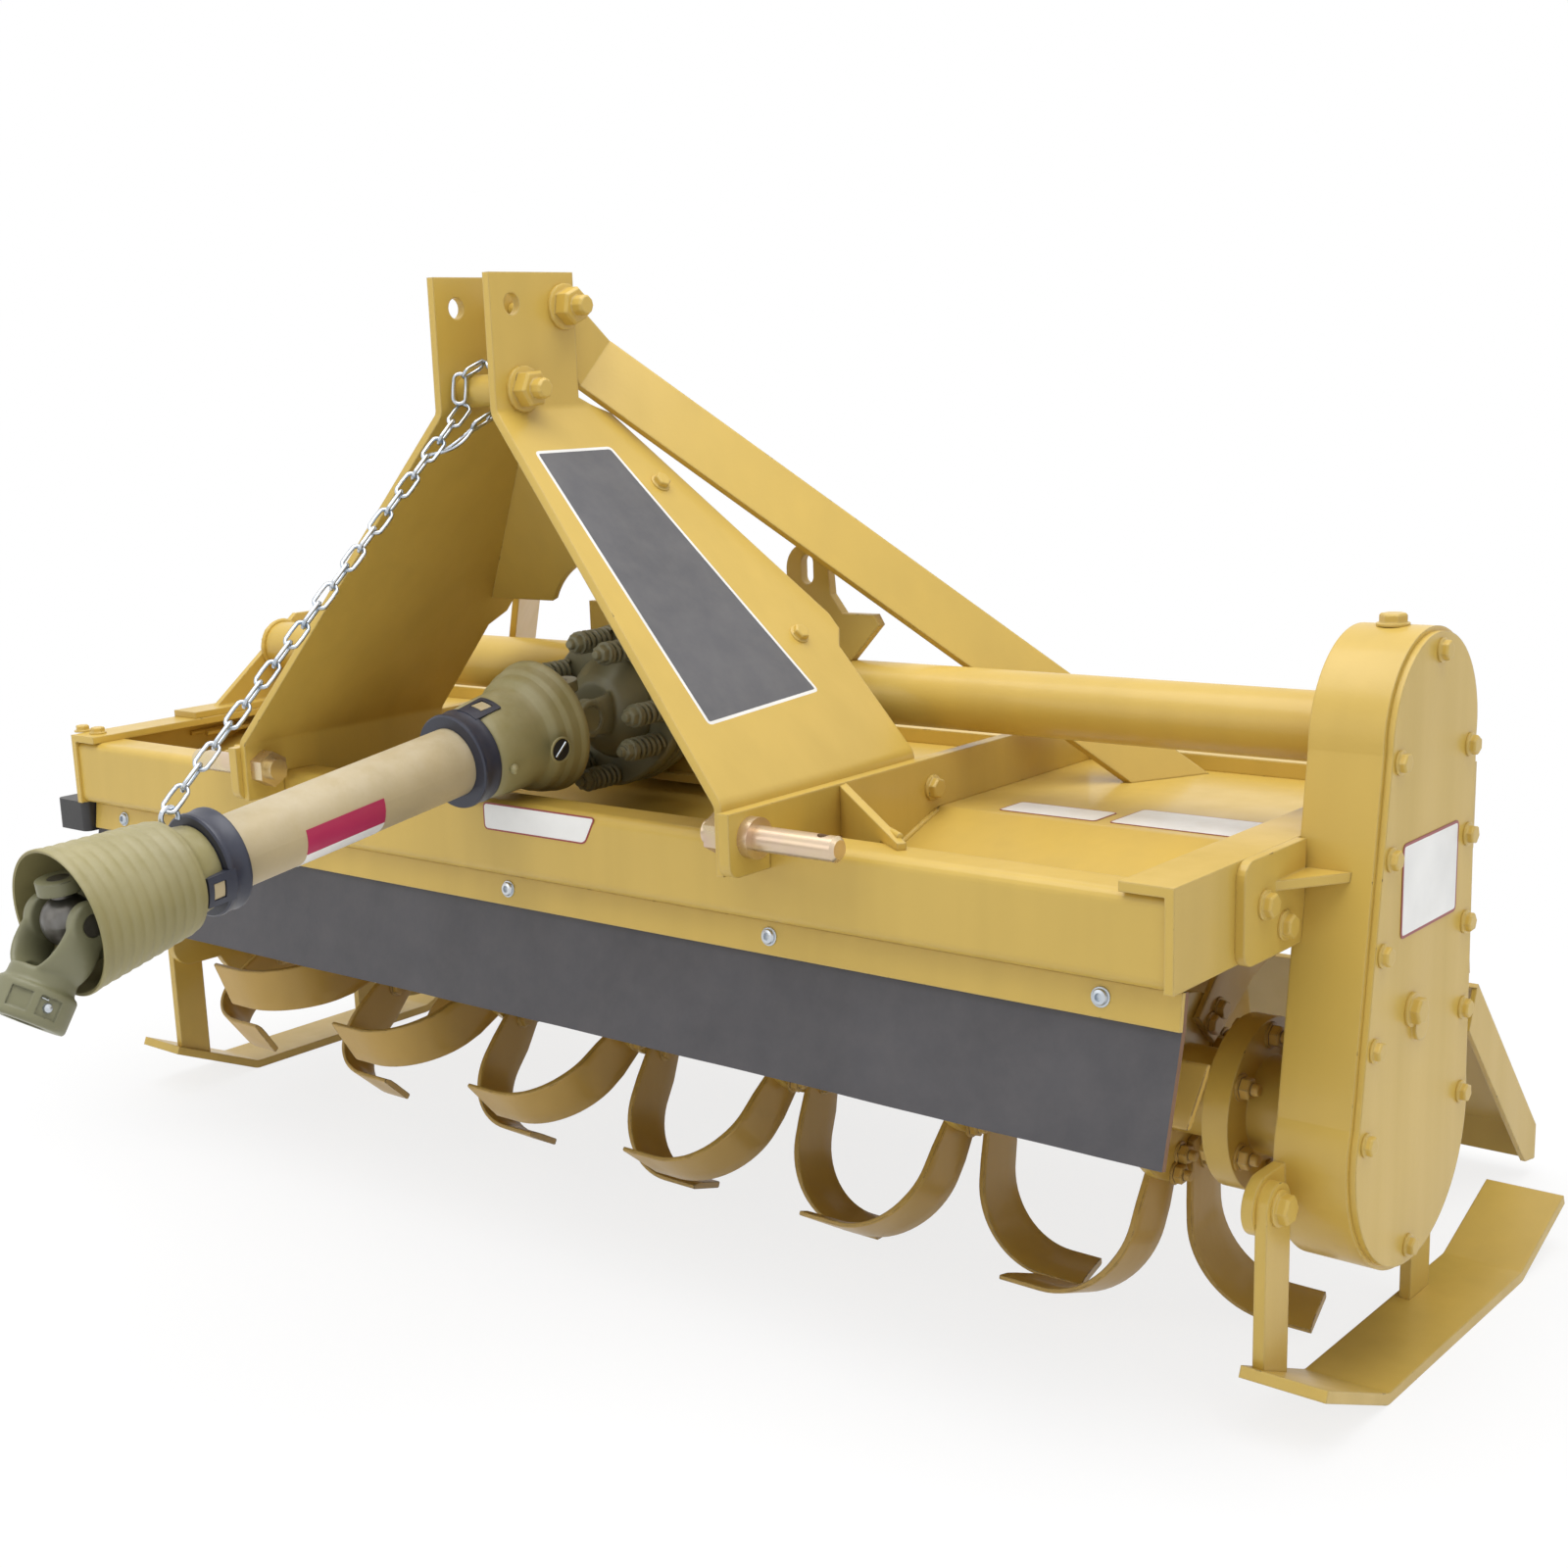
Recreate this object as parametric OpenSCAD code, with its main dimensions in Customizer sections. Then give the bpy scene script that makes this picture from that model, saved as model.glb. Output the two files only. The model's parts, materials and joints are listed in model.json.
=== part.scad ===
// Rotary tiller for a three-point hitch: a gear-driven tined rotor under a sheet steel hood.
// The hitch faces -Y, the side gear case is on +X and the skid soles stand on Z = 0.

/* [Hitch] */
// Distance between the shoulders of the two lower pins
pin_span = 683; // [640:1:720]
// Diameter of the lower pins
pin_d = 22.2; // [18:0.1:25]
// Usable length of a lower pin outside its shoulder
pin_len = 84; // [60:1:110]
// Height of the lower pins above the frame
pin_rise = 8; // [6:0.5:14]
// Distance of the lower pins in front of the beam face
pin_lead = 26; // [22:0.5:32]
// Rise from the lower pins to the top-link hole
mast_rise = 452; // [400:1:500]
// Bore of the top-link hole
top_hole_d = 19.4; // [16:0.1:26]
// Clear width between the two mast ears
ear_gap = 66; // [50:1:84]
// Thickness of the mast plates
mast_t = 8; // [6:0.5:12]
// Running clearance on the radius of a turning or pinned fit
fit = 0.05; // [0.02:0.01:0.1]

/* [Frame] */
// Width over the two end rails
frame_w = 1444; // [1360:2:1520]
// Height of the front beam
beam_h = 74; // [60:1:84]
// Thickness of the beam sheet
beam_t = 5; // [4:0.5:8]
// Depth of the top flange of the beam
beam_flange = 40; // [30:1:60]
// Depth of the bottom lip of the beam
beam_lip = 22; // [14:1:26]
// Thickness of the end rails
rail_t = 8; // [6:0.5:12]
// Width of the top flange of an end rail
rail_flange = 46; // [36:1:60]
// Distance from the beam face to the back of the frame
frame_d = 560; // [530:1:600]
// Height of the hitch rails above the frame
hitch_rail_h = 32; // [26:1:40]
// Thickness of the hitch rails
hitch_rail_t = 12; // [10:0.5:16]
// Distance from the beam face to the cross tube
axis_y = 300; // [285:1:315]
// Distance of the rotor in front of the cross tube
rotor_lead = 18; // [0:1:25]
// Height of the cross tube above the frame
tube_rise = 79; // [70:1:100]
// Outside diameter of the cross tube
tube_d = 60; // [48:1:76]

/* [Hood] */
// Thickness of the hood sheet
hood_t = 4; // [3:0.5:6]
// Gap from the tine tips up to the deck sheet
hood_gap = 23; // [15:1:40]
// Depth of the deck below the top of the frame
deck_drop = 16; // [10:1:24]
// Forward lean of the front skirt and its rubber flap
skirt_lean = 8; // [0:1:14]
// Thickness of the rubber flap
flap_t = 6; // [4:0.5:10]
// Forward kick of the rubber flap below its clamp
flap_kick = 7; // [0:1:12]
// Hanging length of the rubber flap
flap_len = 136; // [90:1:150]
// Height of the strip that clamps the flap
clamp_h = 30; // [22:1:40]
// Thickness of the strip that clamps the flap
clamp_t = 4; // [3:0.5:6]

/* [Rotor] */
// Swing radius of the tines
tine_r = 211; // [200:1:220]
// Clearance of the tines above the soles
tine_clear = 8; // [6:1:30]
// Number of tine flanges along the rotor
flange_n = 7; // [4:1:8]
// Tines on each side of a flange
tine_n = 3; // [2:1:3]
// Width of a tine blade
tine_w = 54; // [44:1:56]
// Thickness of a tine blade
tine_t = 7; // [5:0.5:9]
// Sideways reach of a tine foot
tine_foot = 122; // [90:1:126]
// Turn from one flange to the next
tine_step = 11; // [9:0.5:13]
// Turn from the right-hand tines of a flange to its left-hand ones
tine_lag = 33; // [32:0.5:36]
// Outside diameter of the rotor tube
rotor_d = 80; // [70:1:90]
// Diameter of the tine flanges
flange_d = 172; // [160:1:190]
// Thickness of the tine flanges
flange_t = 10; // [8:0.5:14]
// Diameter of the rotor journals
journal_d = 45; // [36:0.5:55]

/* [Gear case] */
// Depth of the case body across the machine
case_w = 62; // [50:1:76]
// Radius of the upper end of the case
case_top_r = 88; // [70:1:100]
// Radius of the lower end of the case
case_low_r = 116; // [100:1:120]
// Thickness of the case cover
cover_t = 6; // [4:0.5:10]
// Inset of the cover from the case edge
cover_inset = 4; // [2:0.5:10]
// Width of the gearbox across the machine
box_w = 170; // [140:2:200]
// Length of the gearbox along the machine
box_l = 130; // [120:2:140]

/* [Skids and tailboard] */
// Width of a skid
skid_w = 74; // [60:1:90]
// Thickness of a skid
skid_t = 10; // [8:0.5:14]
// Length of the flat sole
sole_len = 300; // [260:1:330]
// Rise of the skid toe
toe_rise = 52; // [30:1:70]
// Length of the skid toe
toe_len = 120; // [90:1:140]
// Thickness of the tailboard sheet
tail_t = 5; // [4:0.5:8]
// Length of the tailboard from its hinge to its lip
tail_len = 288; // [240:1:300]
// Slope of the tailboard below level
tail_slope = 48; // [40:1:54]
// Height of the lip under the tailboard
tail_lip = 36; // [20:1:40]
// Diameter of the tailboard hinge pins
hinge_d = 12; // [10:0.5:16]

/* [Driveline] */
// Distance between the centres of the two universal joints
drive_len = 577; // [520:1:620]
// Droop of the driveline below level
drive_droop = 7.9; // [4:0.1:12]
// Droop of the front yoke below the driveline
yoke_droop = 48; // [30:1:50]
// Diameter of the splined bore in the front yoke
pto_bore_d = 35; // [28:0.5:38]
// Outside diameter of the guard tube
guard_d = 66; // [60:1:72]
// Diameter of the mouth of the front guard cone
cone_d = 126; // [116:1:132]
// Diameter of the rear guard bell
bell_d = 134; // [126:1:138]
// Diameter of the trunnions of the joint crosses
trunnion_d = 18; // [14:0.5:20]
// Diameter of the slip clutch plates
clutch_d = 168; // [150:1:176]
// Wire thickness of the holding chain
chain_wire = 5; // [4:0.5:6]
// Pitch of the holding chain
chain_pitch = 23.4; // [21:0.1:26]

/* [Hidden] */
$fn = 48;

// Paint and finishes
paint = "#c8a54b";
guard_tan = "#beaa73";
rubber_grey = "#5c585c";
cast_green = "#5f5a37";
zinc_gold = "#c9a86a";
zinc = "#b9bcc0";
collar_black = "#2d3041";

// Levels, worked up from the soles
rotor_z = tine_r + tine_clear;
rotor_y = axis_y - rotor_lead;
deck_top = rotor_z + tine_r + hood_gap + hood_t;
frame_top = deck_top + deck_drop;
frame_z = frame_top - beam_h;
rail_top = frame_top + rail_t;
tube_z = frame_top + tube_rise;
hitch_rail_top = frame_top + hitch_rail_h;
pin_z = frame_top + pin_rise;
hole_z = pin_z + mast_rise;

// Stations across the machine
half_w = frame_w / 2;
inner_w = half_w - rail_t;
lug_x = pin_span / 2;
skid_gap = 4;
skid_x = half_w + skid_gap;

// Hitch rails and mast plates
lug_front = 28;
lug_drop = 32;
lug_round = 12;
lug_z = pin_z - lug_drop;
lug_y = -pin_lead - lug_front;
shoulder_d = 36;
shoulder_t = 10;
nut_h = 18;
nut_d = 38;
thread_over = 8;
link_pin_hole_d = 11;
link_pin_hole_in = 16;
mast_foot_x = lug_x - hitch_rail_t - mast_t / 2;
ear_x = ear_gap / 2 + mast_t / 2;
bend_low_z = hitch_rail_top + 5;
bend_high_z = hole_z - 96;
bend_r = 12;
ear_top = hole_z + 28;
ear_y = -3;
ear_w = 108;
hole_y = 24;
spacer_y = 32;
spacer_z = hole_z - 76;
spacer_d = 30;
brace_bolt_y = 91;
brace_bolt_z = hole_z - 3;
bolt_d = 16;
bolt_over = 16;
mast_low_y0 = -pin_lead - 22;
mast_low_y1 = 230;
mast_knee_y = 247;
mast_knee_z = bend_low_z + 124;
mast_neck_y = 141;

// Hood profile stations
skirt_y = beam_lip + 10;
skirt_len = 62;
fold_z = frame_z + 29;
slope_foot_y = axis_y - 116;
slope_foot_z = deck_top - 27;
slope_top_y = axis_y - 45;
deck_mid_z = deck_top - hood_t / 2;
lip_y = frame_d + 32;
lip_z = rotor_z + 51;
hood_bend = 14;

// Tailboard hinge and outline
hinge_y = lip_y + 14;
hinge_z = lip_z - 4;
hinge_at = [-450, 0, 450];
ear_r = 14;
ear_t = 8;
knuckle_len = 50;
knuckle_r = 11;
hinge_side_gap = 5;
tail_start = 22;
tail_flange = 40;
tail_half_w = inner_w - 2;
tail_bend_y = hinge_y + tail_len * cos(tail_slope);
tail_bend_z = hinge_z - tail_len * sin(tail_slope);

// Skid stations
sole_y0 = rotor_y - 57;
sole_y1 = sole_y0 + sole_len;
heel_len = 105;
heel_rise = 42;
strap_w = 42;
strap_t = 10;
strap_out = 146;
strap_hole_z = rotor_z - 28;
tab_r = 26;

// Gear case, gearbox and bearings
case_x = half_w;
boss_d = 120;
boss_len = 22;
journal_depth = 18;
box_foot_t = 8;
box_top = 85;
box_flange_d = 130;
box_flange_t = 18;
neck_d = 100;
neck_len = 10;
bracket_back = 196;

// Rotor stations
flange_first = -inner_w + 46;
flange_last = inner_w - 138;
flange_pitch = (flange_last - flange_first) / (flange_n - 1);
tine_base = 52;
tine_bend = 74;
tine_sweep = 14;
tine_tip_cut = 20;
tine_reach = sqrt(tine_r * tine_r - pow(tine_w / 2 + tine_sweep, 2));
coupling_d = 155;
coupling_t = 12;
coupling_gap = 62;
hub_d = 88;
end_gap = 3;

// Driveline stations
joint_y = 102;
front_joint_y = joint_y - drive_len * cos(drive_droop);
input_drop = 12;
input_z = tube_z - input_drop;
front_joint_z = input_z - drive_len * sin(drive_droop);
yoke_ear_in = 25;
yoke_ear_out = 36;
yoke_ear_r = 19;
yoke_stem = 40;
neck_r = 23;
shaft_r = 19;
cone_len = 138;
bell_len = 116;
rear_mouth = 14;
front_mouth = 10;
cone_t = 3;
cone_small_r = guard_d / 2 + 9;
cone_ribs = 7;
collar_r = guard_d / 2 + 13;
collar_len = 24;
guard_t = 3.5;
hub_r = 28;
hub_start = 46;
hub_len = 88;
hub_collar_r = 33;
hub_collar_len = 22;
clutch_front = 64;
clutch_len = 48;
input_d = 56;
input_len = axis_y - box_l / 2 - neck_len - joint_y - clutch_front - clutch_len;
spring_pairs = 4;
spring_d = 24;
spring_len = 44;
spring_ring = clutch_d / 2 - 15;
spring_pair = 15;
spring_turn = -14;
hook_back = 112;
link_play = 0.6;
hook_r = cone_small_r + 14;

// Reach of the whole machine along Y, which sets the origin at the middle of its footprint
nose_y = front_joint_y - hub_len * cos(drive_droop + yoke_droop)
  - hub_collar_r * sin(drive_droop + yoke_droop);
stern_y = tail_bend_y + tail_t / 2;
mid_y = (nose_y + stern_y) / 2;

// Vector and path helpers
function unit(v) = v / norm(v);
function left_of(v) = [-v[1], v[0]];
function turned(v, a) = [v[0] * cos(a) - v[1] * sin(a), v[0] * sin(a) + v[1] * cos(a)];
function reversed(list) = [for (i = [len(list) - 1:-1:0]) list[i]];
// Points of the round bend that replaces corner b between a and c
function bend_points(a, b, c, r, n = 5) =
  let (u = unit(a - b), v = unit(c - b), half = acos(u * v) / 2)
  let (centre = b + unit(u + v) * r / sin(half), from = b + u * r / tan(half) - centre)
  let (turn = sign(cross(-u, v)) * (180 - 2 * half))
  [for (i = [0:n]) centre + turned(from, turn * i / n)];
function rounded(p, r) = [p[0], for (i = [1:len(p) - 2])
  each bend_points(p[i - 1], p[i], p[i + 1], r), p[len(p) - 1]];
// The path moved sideways by d, with mitred corners
function shifted(p, d) = [for (i = [0:len(p) - 1])
  let (last = len(p) - 1)
  let (t0 = unit(i == 0 ? p[1] - p[0] : p[i] - p[i - 1]))
  let (t1 = unit(i == last ? p[last] - p[last - 1] : p[i + 1] - p[i]))
  let (m = unit(left_of(t0) + left_of(t1)))
  p[i] + m * d / (m * left_of(t0))];
// Sheet of thickness t along a centre line
module sheet(p, t) { polygon(concat(shifted(p, t / 2), reversed(shifted(p, -t / 2)))); }

// Profiles drawn as (Y, Z) run along X, and profiles drawn as (X, Z) run along Y
module along_x(x0, x1) {
  translate([x0, 0, 0]) rotate([90, 0, 90]) linear_extrude(x1 - x0) children();
}
module along_y(y0, y1) {
  translate([0, y1, 0]) rotate([90, 0, 0]) linear_extrude(y1 - y0) children();
}
module rod_x(x0, x1, r, y, z) {
  translate([x0, y, z]) rotate([0, 90, 0]) cylinder(r = r, h = x1 - x0);
}
module hex_x(x0, x1, d, y, z) {
  translate([x0, y, z]) rotate([0, 90, 0]) cylinder(d = d, h = x1 - x0, $fn = 6);
}
module place() { translate([0, -mid_y, 0]) children(); }
module on_left() { mirror([1, 0, 0]) children(); }

// Front beam: a folded channel with its lips turned back under the deck
module front_beam() {
  mid = beam_t / 2;
  path = [[beam_flange, frame_top - mid], [mid, frame_top - mid], [mid, frame_z + mid],
    [beam_lip, frame_z + mid]];
  color(paint) place() along_x(-inner_w, inner_w) sheet(rounded(path, beam_t + mid), beam_t);
}

// End rails: angle with its flange over the beam and its leg outside
rail_proud = 3;
module end_rail() {
  leg_x = half_w - rail_t / 2;
  flange_z = rail_top - rail_t / 2;
  along_y(-rail_proud, frame_d + rail_t)
    sheet([[half_w - rail_flange, flange_z], [leg_x, flange_z], [leg_x, frame_z]], rail_t);
}
module end_rail_right() { color(paint) place() end_rail(); }
module end_rail_left() { color(paint) place() on_left() end_rail(); }

// Rear rail: an angle that stands on the back of the deck
rear_rail_t = 5;
rear_rail_w = 36;
module rear_rail() {
  y = frame_d - rear_rail_w;
  top = frame_top - rear_rail_t / 2;
  mid = rear_rail_t / 2;
  color(paint) place() along_x(-inner_w, inner_w)
    sheet([[y + mid, deck_top], [y + mid, top], [frame_d, top]], rear_rail_t);
}

// A point s down the leaning skirt from its fold and d in front of its mid plane
function skirt_point(s, d) = [skirt_y - s * sin(skirt_lean) - d * cos(skirt_lean),
  fold_z - s * cos(skirt_lean) + d * sin(skirt_lean)];
flap_top = (fold_z - frame_z + 4) / cos(skirt_lean);
side_gap = 2;

module hood() {
  path = [skirt_point(skirt_len, 0), [skirt_y, fold_z], [slope_foot_y, slope_foot_z],
    [slope_top_y, deck_mid_z], [frame_d + hood_t / 2, deck_mid_z]];
  color(paint) place() along_x(-inner_w, inner_w) sheet(rounded(path, hood_bend), hood_t);
}

// Rear wall: a flat leaning sheet welded under the back edge of the deck
rear_lean = atan2(lip_y - frame_d, deck_mid_z - lip_z);
rear_wall_t = hood_t / cos(rear_lean);
function rear_face_y(z) = lip_y + rear_wall_t / 2 - (z - lip_z) * tan(rear_lean);
module hood_back() {
  top = deck_top - hood_t - fit;
  color(paint) place() along_x(-inner_w, inner_w)
    polygon([[rear_face_y(top), top], [rear_face_y(top) - rear_wall_t, top],
      [rear_face_y(lip_z) - rear_wall_t, lip_z], [rear_face_y(lip_z), lip_z]]);
}

// Front flap and the strip that clamps it against the skirt
module front_flap() {
  d = hood_t / 2 + flap_t / 2 + fit;
  kick = skirt_point(flap_top + clamp_h, d);
  low = flap_len - clamp_h;
  lean = skirt_lean + flap_kick;
  path = [skirt_point(flap_top, d), kick, kick - low * [sin(lean), cos(lean)]];
  color(rubber_grey) place() along_x(side_gap + rail_t - half_w, half_w - side_gap) sheet(path, flap_t);
}
module flap_clamp() {
  d = hood_t / 2 + flap_t + clamp_t / 2 + 2 * fit;
  color(paint) place() along_x(side_gap + rail_t - half_w, half_w - side_gap)
    sheet([skirt_point(flap_top, d), skirt_point(flap_top + clamp_h, d)], clamp_t);
}

// Lower edge shared by the hitch rails and the mast feet: down over the beam, up onto the deck
rail_fit = 0.5;
valley_z = slope_foot_z + hood_t / 2 + 2;
crest_y = slope_top_y - 4;
function sill_z(y) = min(deck_top,
  valley_z + max(0, y - slope_foot_y) * (deck_top - valley_z) / (crest_y - slope_foot_y));
function sill(front, back) = concat([[front, lug_z], [-rail_fit, lug_z], [-rail_fit, frame_top],
  [beam_flange + rail_fit, frame_top], [beam_flange + rail_fit, valley_z], [slope_foot_y, valley_z]],
  back > crest_y ? [[crest_y, deck_top]] : [], [[back, sill_z(back)]]);

// Hitch rails: flat bars on edge that carry the lower pins at their front lugs
hitch_rail_back = frame_d - rear_rail_w;
module hitch_rail() {
  corner = bend_points([lug_y, hitch_rail_top], [lug_y, lug_z], [-rail_fit, lug_z], lug_round);
  edge = sill(lug_y, hitch_rail_back);
  outline = concat([[lug_y, hitch_rail_top]], corner, [for (i = [1:len(edge) - 1]) edge[i]],
    [[hitch_rail_back, hitch_rail_top]]);
  difference() {
    along_x(lug_x - hitch_rail_t, lug_x) polygon(outline);
    rod_x(lug_x - hitch_rail_t - 1, lug_x + 1, pin_d / 2 + fit, -pin_lead, pin_z);
  }
}
module hitch_rail_right() { color(paint) place() hitch_rail(); }
module hitch_rail_left() { color(paint) place() on_left() hitch_rail(); }

// Gussets: triangular plates on edge, down from the hitch rails to the beam flange
gusset_t = 8;
gusset_run = 118;
gusset_y = 104;
gusset_toe = 14;
gusset_end_h = 6;
module rail_gusset() {
  toe = [gusset_run, beam_flange - gusset_toe - gusset_y];
  span = norm(toe);
  rise = hitch_rail_top - frame_top;
  step = span * (gusset_y - beam_flange - gusset_t) / -toe[1];
  difference() {
    translate([lug_x, gusset_y, frame_top]) rotate([90, 0, atan2(toe[1], toe[0])])
      linear_extrude(gusset_t, center = true)
        polygon([[-gusset_t, -deck_drop], [-gusset_t, rise], [span, gusset_end_h], [span, 0], [step, 0],
          [step, -deck_drop]]);
    translate([lug_x - 2 * hitch_rail_t, 0, frame_z]) cube([2 * hitch_rail_t, frame_d, 2 * beam_h]);
  }
}
module rail_gussets() {
  color(paint) place() {
    rail_gusset();
    on_left() rail_gusset();
  }
}

// Lower pins: shouldered, cross-drilled for a lynch pin and drawn up by a nut inside the mast foot
module lower_pin() {
  tip = lug_x + shoulder_t + pin_len;
  inside = lug_x - hitch_rail_t - mast_t;
  chamfer = 3;
  difference() {
    union() {
      rod_x(inside - nut_h - thread_over, tip - chamfer, pin_d / 2, -pin_lead, pin_z);
      rod_x(lug_x, lug_x + shoulder_t, shoulder_d / 2, -pin_lead, pin_z);
      hex_x(inside - nut_h, inside, nut_d, -pin_lead, pin_z);
      translate([tip - chamfer, -pin_lead, pin_z]) rotate([0, 90, 0])
        cylinder(r1 = pin_d / 2, r2 = pin_d / 2 - chamfer, h = chamfer);
    }
    translate([tip - link_pin_hole_in, -pin_lead, pin_z - pin_d])
      cylinder(d = link_pin_hole_d, h = 2 * pin_d);
  }
}
module lower_pin_right() { color(zinc_gold) place() lower_pin(); }
module lower_pin_left() { color(zinc_gold) place() on_left() lower_pin(); }

// Mast plates: each one plate bent twice, foot inside the hitch rail and ear at the top link
function mast_path() = [[mast_foot_x, lug_z], [mast_foot_x, bend_low_z], [ear_x, bend_high_z],
  [ear_x, ear_top]];
function mast_outline() = concat(sill(mast_low_y0, mast_low_y1),
  [[mast_low_y1, mast_knee_z - 28], [mast_knee_y, mast_knee_z - 14], [mast_knee_y, mast_knee_z],
  [mast_neck_y, bend_high_z - 6], [ear_y + ear_w, bend_high_z + 10], [ear_y + ear_w, ear_top],
  [ear_y, ear_top], [ear_y, bend_high_z], [mast_low_y0, bend_low_z]]);
module mast() {
  difference() {
    intersection() {
      along_y(mast_low_y0, mast_knee_y) sheet(rounded(mast_path(), bend_r), mast_t);
      along_x(0, lug_x) polygon(mast_outline());
    }
    rod_x(0, ear_gap, top_hole_d / 2, hole_y, hole_z);
    rod_x(0, ear_gap, bolt_d / 2 + fit, spacer_y, spacer_z);
    rod_x(0, ear_gap, bolt_d / 2 + fit, brace_bolt_y, brace_bolt_z);
    rod_x(mast_foot_x - mast_t, lug_x, pin_d / 2 + fit, -pin_lead, pin_z);
  }
}
module mast_right() { color(paint) place() mast(); }
module mast_left() { color(paint) place() on_left() mast(); }

// Web: an arched plate that ties the two mast plates behind the driveline
web_t = 6;
web_top_y = 128;
web_low_y = 212;
web_low_z = mast_knee_z + 6;
web_top_z = bend_high_z - 30;
web_arch_r = 150;
web_arch_h = 50;
mast_angle = atan2(bend_high_z - bend_low_z, mast_foot_x - ear_x);
function mast_inner_x(z) = ear_x + (mast_foot_x - ear_x) * (bend_high_z - z) / (bend_high_z - bend_low_z)
  - mast_t / 2 / sin(mast_angle);
module mast_web() {
  color(paint) place() intersection() {
    along_x(-lug_x, lug_x) sheet([[web_top_y, web_top_z], [web_low_y, web_low_z]], web_t);
    along_y(0, axis_y) difference() {
      polygon([[-mast_inner_x(web_low_z - web_t), web_low_z - web_t], [-mast_inner_x(ear_top), ear_top],
        [mast_inner_x(ear_top), ear_top], [mast_inner_x(web_low_z - web_t), web_low_z - web_t]]);
      translate([0, web_low_z - web_arch_r + web_arch_h]) circle(r = web_arch_r);
    }
  }
}

// Spacer tube with its through bolt, and the bolt that holds the braces
module cross_bolt(reach, y, z) {
  head = 11;
  rod_x(-reach - bolt_over, reach + bolt_over, bolt_d / 2, y, z);
  hex_x(reach, reach + head, bolt_d * 1.6, y, z);
  hex_x(-reach - head, -reach, bolt_d * 1.6, y, z);
}
module mast_spacer() {
  color(paint) place() {
    cross_bolt(ear_gap / 2 + mast_t, spacer_y, spacer_z);
    rod_x(-ear_gap / 2, ear_gap / 2, spacer_d / 2, spacer_y, spacer_z);
  }
}
module brace_bolt() {
  color(paint) place() cross_bolt(ear_gap / 2 + mast_t, brace_bolt_y, brace_bolt_z);
}

// Braces: flat bars bolted inside the ears, bent out and back down to the deck
brace_t = 8;
brace_w = 60;
brace_head_r = 20;
brace_bend = [ear_gap / 2 - brace_t / 2 - rail_fit, 140, brace_bolt_z - 53];
brace_foot = [457, 473, deck_top];
module brace() {
  run = unit(brace_foot - brace_bend);
  head = unit([brace_bend[1] - brace_bolt_y, brace_bend[2] - brace_bolt_z]);
  side = [0, -head[1], head[0]];
  wide = unit(side - run * (side * run));
  thick = cross(run, wide);
  length = norm(brace_foot - brace_bend) + brace_w;
  bolt = [brace_bolt_y, brace_bolt_z];
  bend = [brace_bend[1], brace_bend[2]] + head * brace_t / 4;
  across = left_of(head);
  x0 = brace_bend[0] - brace_t / 2;
  frame = [for (i = [0:2]) [run[i], wide[i], thick[i], brace_bend[i]]];
  difference() {
    union() {
      rod_x(x0, x0 + brace_t, brace_head_r, brace_bolt_y, brace_bolt_z);
      along_x(x0, x0 + brace_t)
        polygon([bolt + across * brace_head_r, bend + across * brace_w / 2, bend - across * brace_w / 2,
          bolt - across * brace_head_r]);
      multmatrix(concat(frame, [[0, 0, 0, 1]]))
        translate([0, -brace_w / 2, -brace_t / 2]) cube([length, brace_w, brace_t]);
    }
    rod_x(0, lug_x, bolt_d / 2 + fit, brace_bolt_y, brace_bolt_z);
    translate([0, 0, deck_top - 2 * brace_w]) cube([half_w, frame_d, 2 * brace_w]);
  }
}
module brace_right() { color(paint) place() brace(); }
module brace_left() { color(paint) place() on_left() brace(); }

// Gearbox: one cast block on a saddle, with side flanges for the tube and an input neck
module gearbox() {
  floor_z = deck_top + box_foot_t;
  color(paint) place() {
    translate([-box_w / 2, axis_y - box_l / 2, floor_z]) cube([box_w, box_l, tube_z + box_top - floor_z]);
    for (s = [-1, 1])
      rod_x(s * box_w / 2 - (s < 0 ? box_flange_t : 0), s * box_w / 2 + (s > 0 ? box_flange_t : 0),
        box_flange_d / 2, axis_y, tube_z);
    translate([0, axis_y - box_l / 2, input_z]) rotate([90, 0, 0]) cylinder(d = neck_d, h = neck_len);
    translate([0, axis_y + box_l / 2 + neck_len / 2, tube_z]) rotate([90, 0, 0])
      cylinder(d = neck_d, h = neck_len / 2);
    translate([0, axis_y, tube_z + box_top]) cylinder(d = bolt_d * 2, h = bolt_d, $fn = 6);
  }
}
saddle_over = 30;
saddle_front = 12;
module gearbox_saddle() {
  color(paint) place() translate([-box_w / 2 - saddle_over, axis_y - box_l / 2 - saddle_front, deck_top])
    cube([box_w + 2 * saddle_over, box_l + saddle_front + saddle_over, box_foot_t]);
}

// Cross tube: the drive tube to the gear case and its twin to the left bracket
bracket_x = inner_w - 10;
bracket_t = 8;
tube_flange_d = 96;
tube_flange_t = 10;
module cross_tube() {
  from = box_w / 2 + box_flange_t;
  color(paint) place() {
    rod_x(from, case_x, tube_d / 2, axis_y, tube_z);
    rod_x(case_x - tube_flange_t, case_x, tube_flange_d / 2, axis_y, tube_z);
    rod_x(bracket_t - bracket_x, -from, tube_d / 2, axis_y, tube_z);
  }
}

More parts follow.
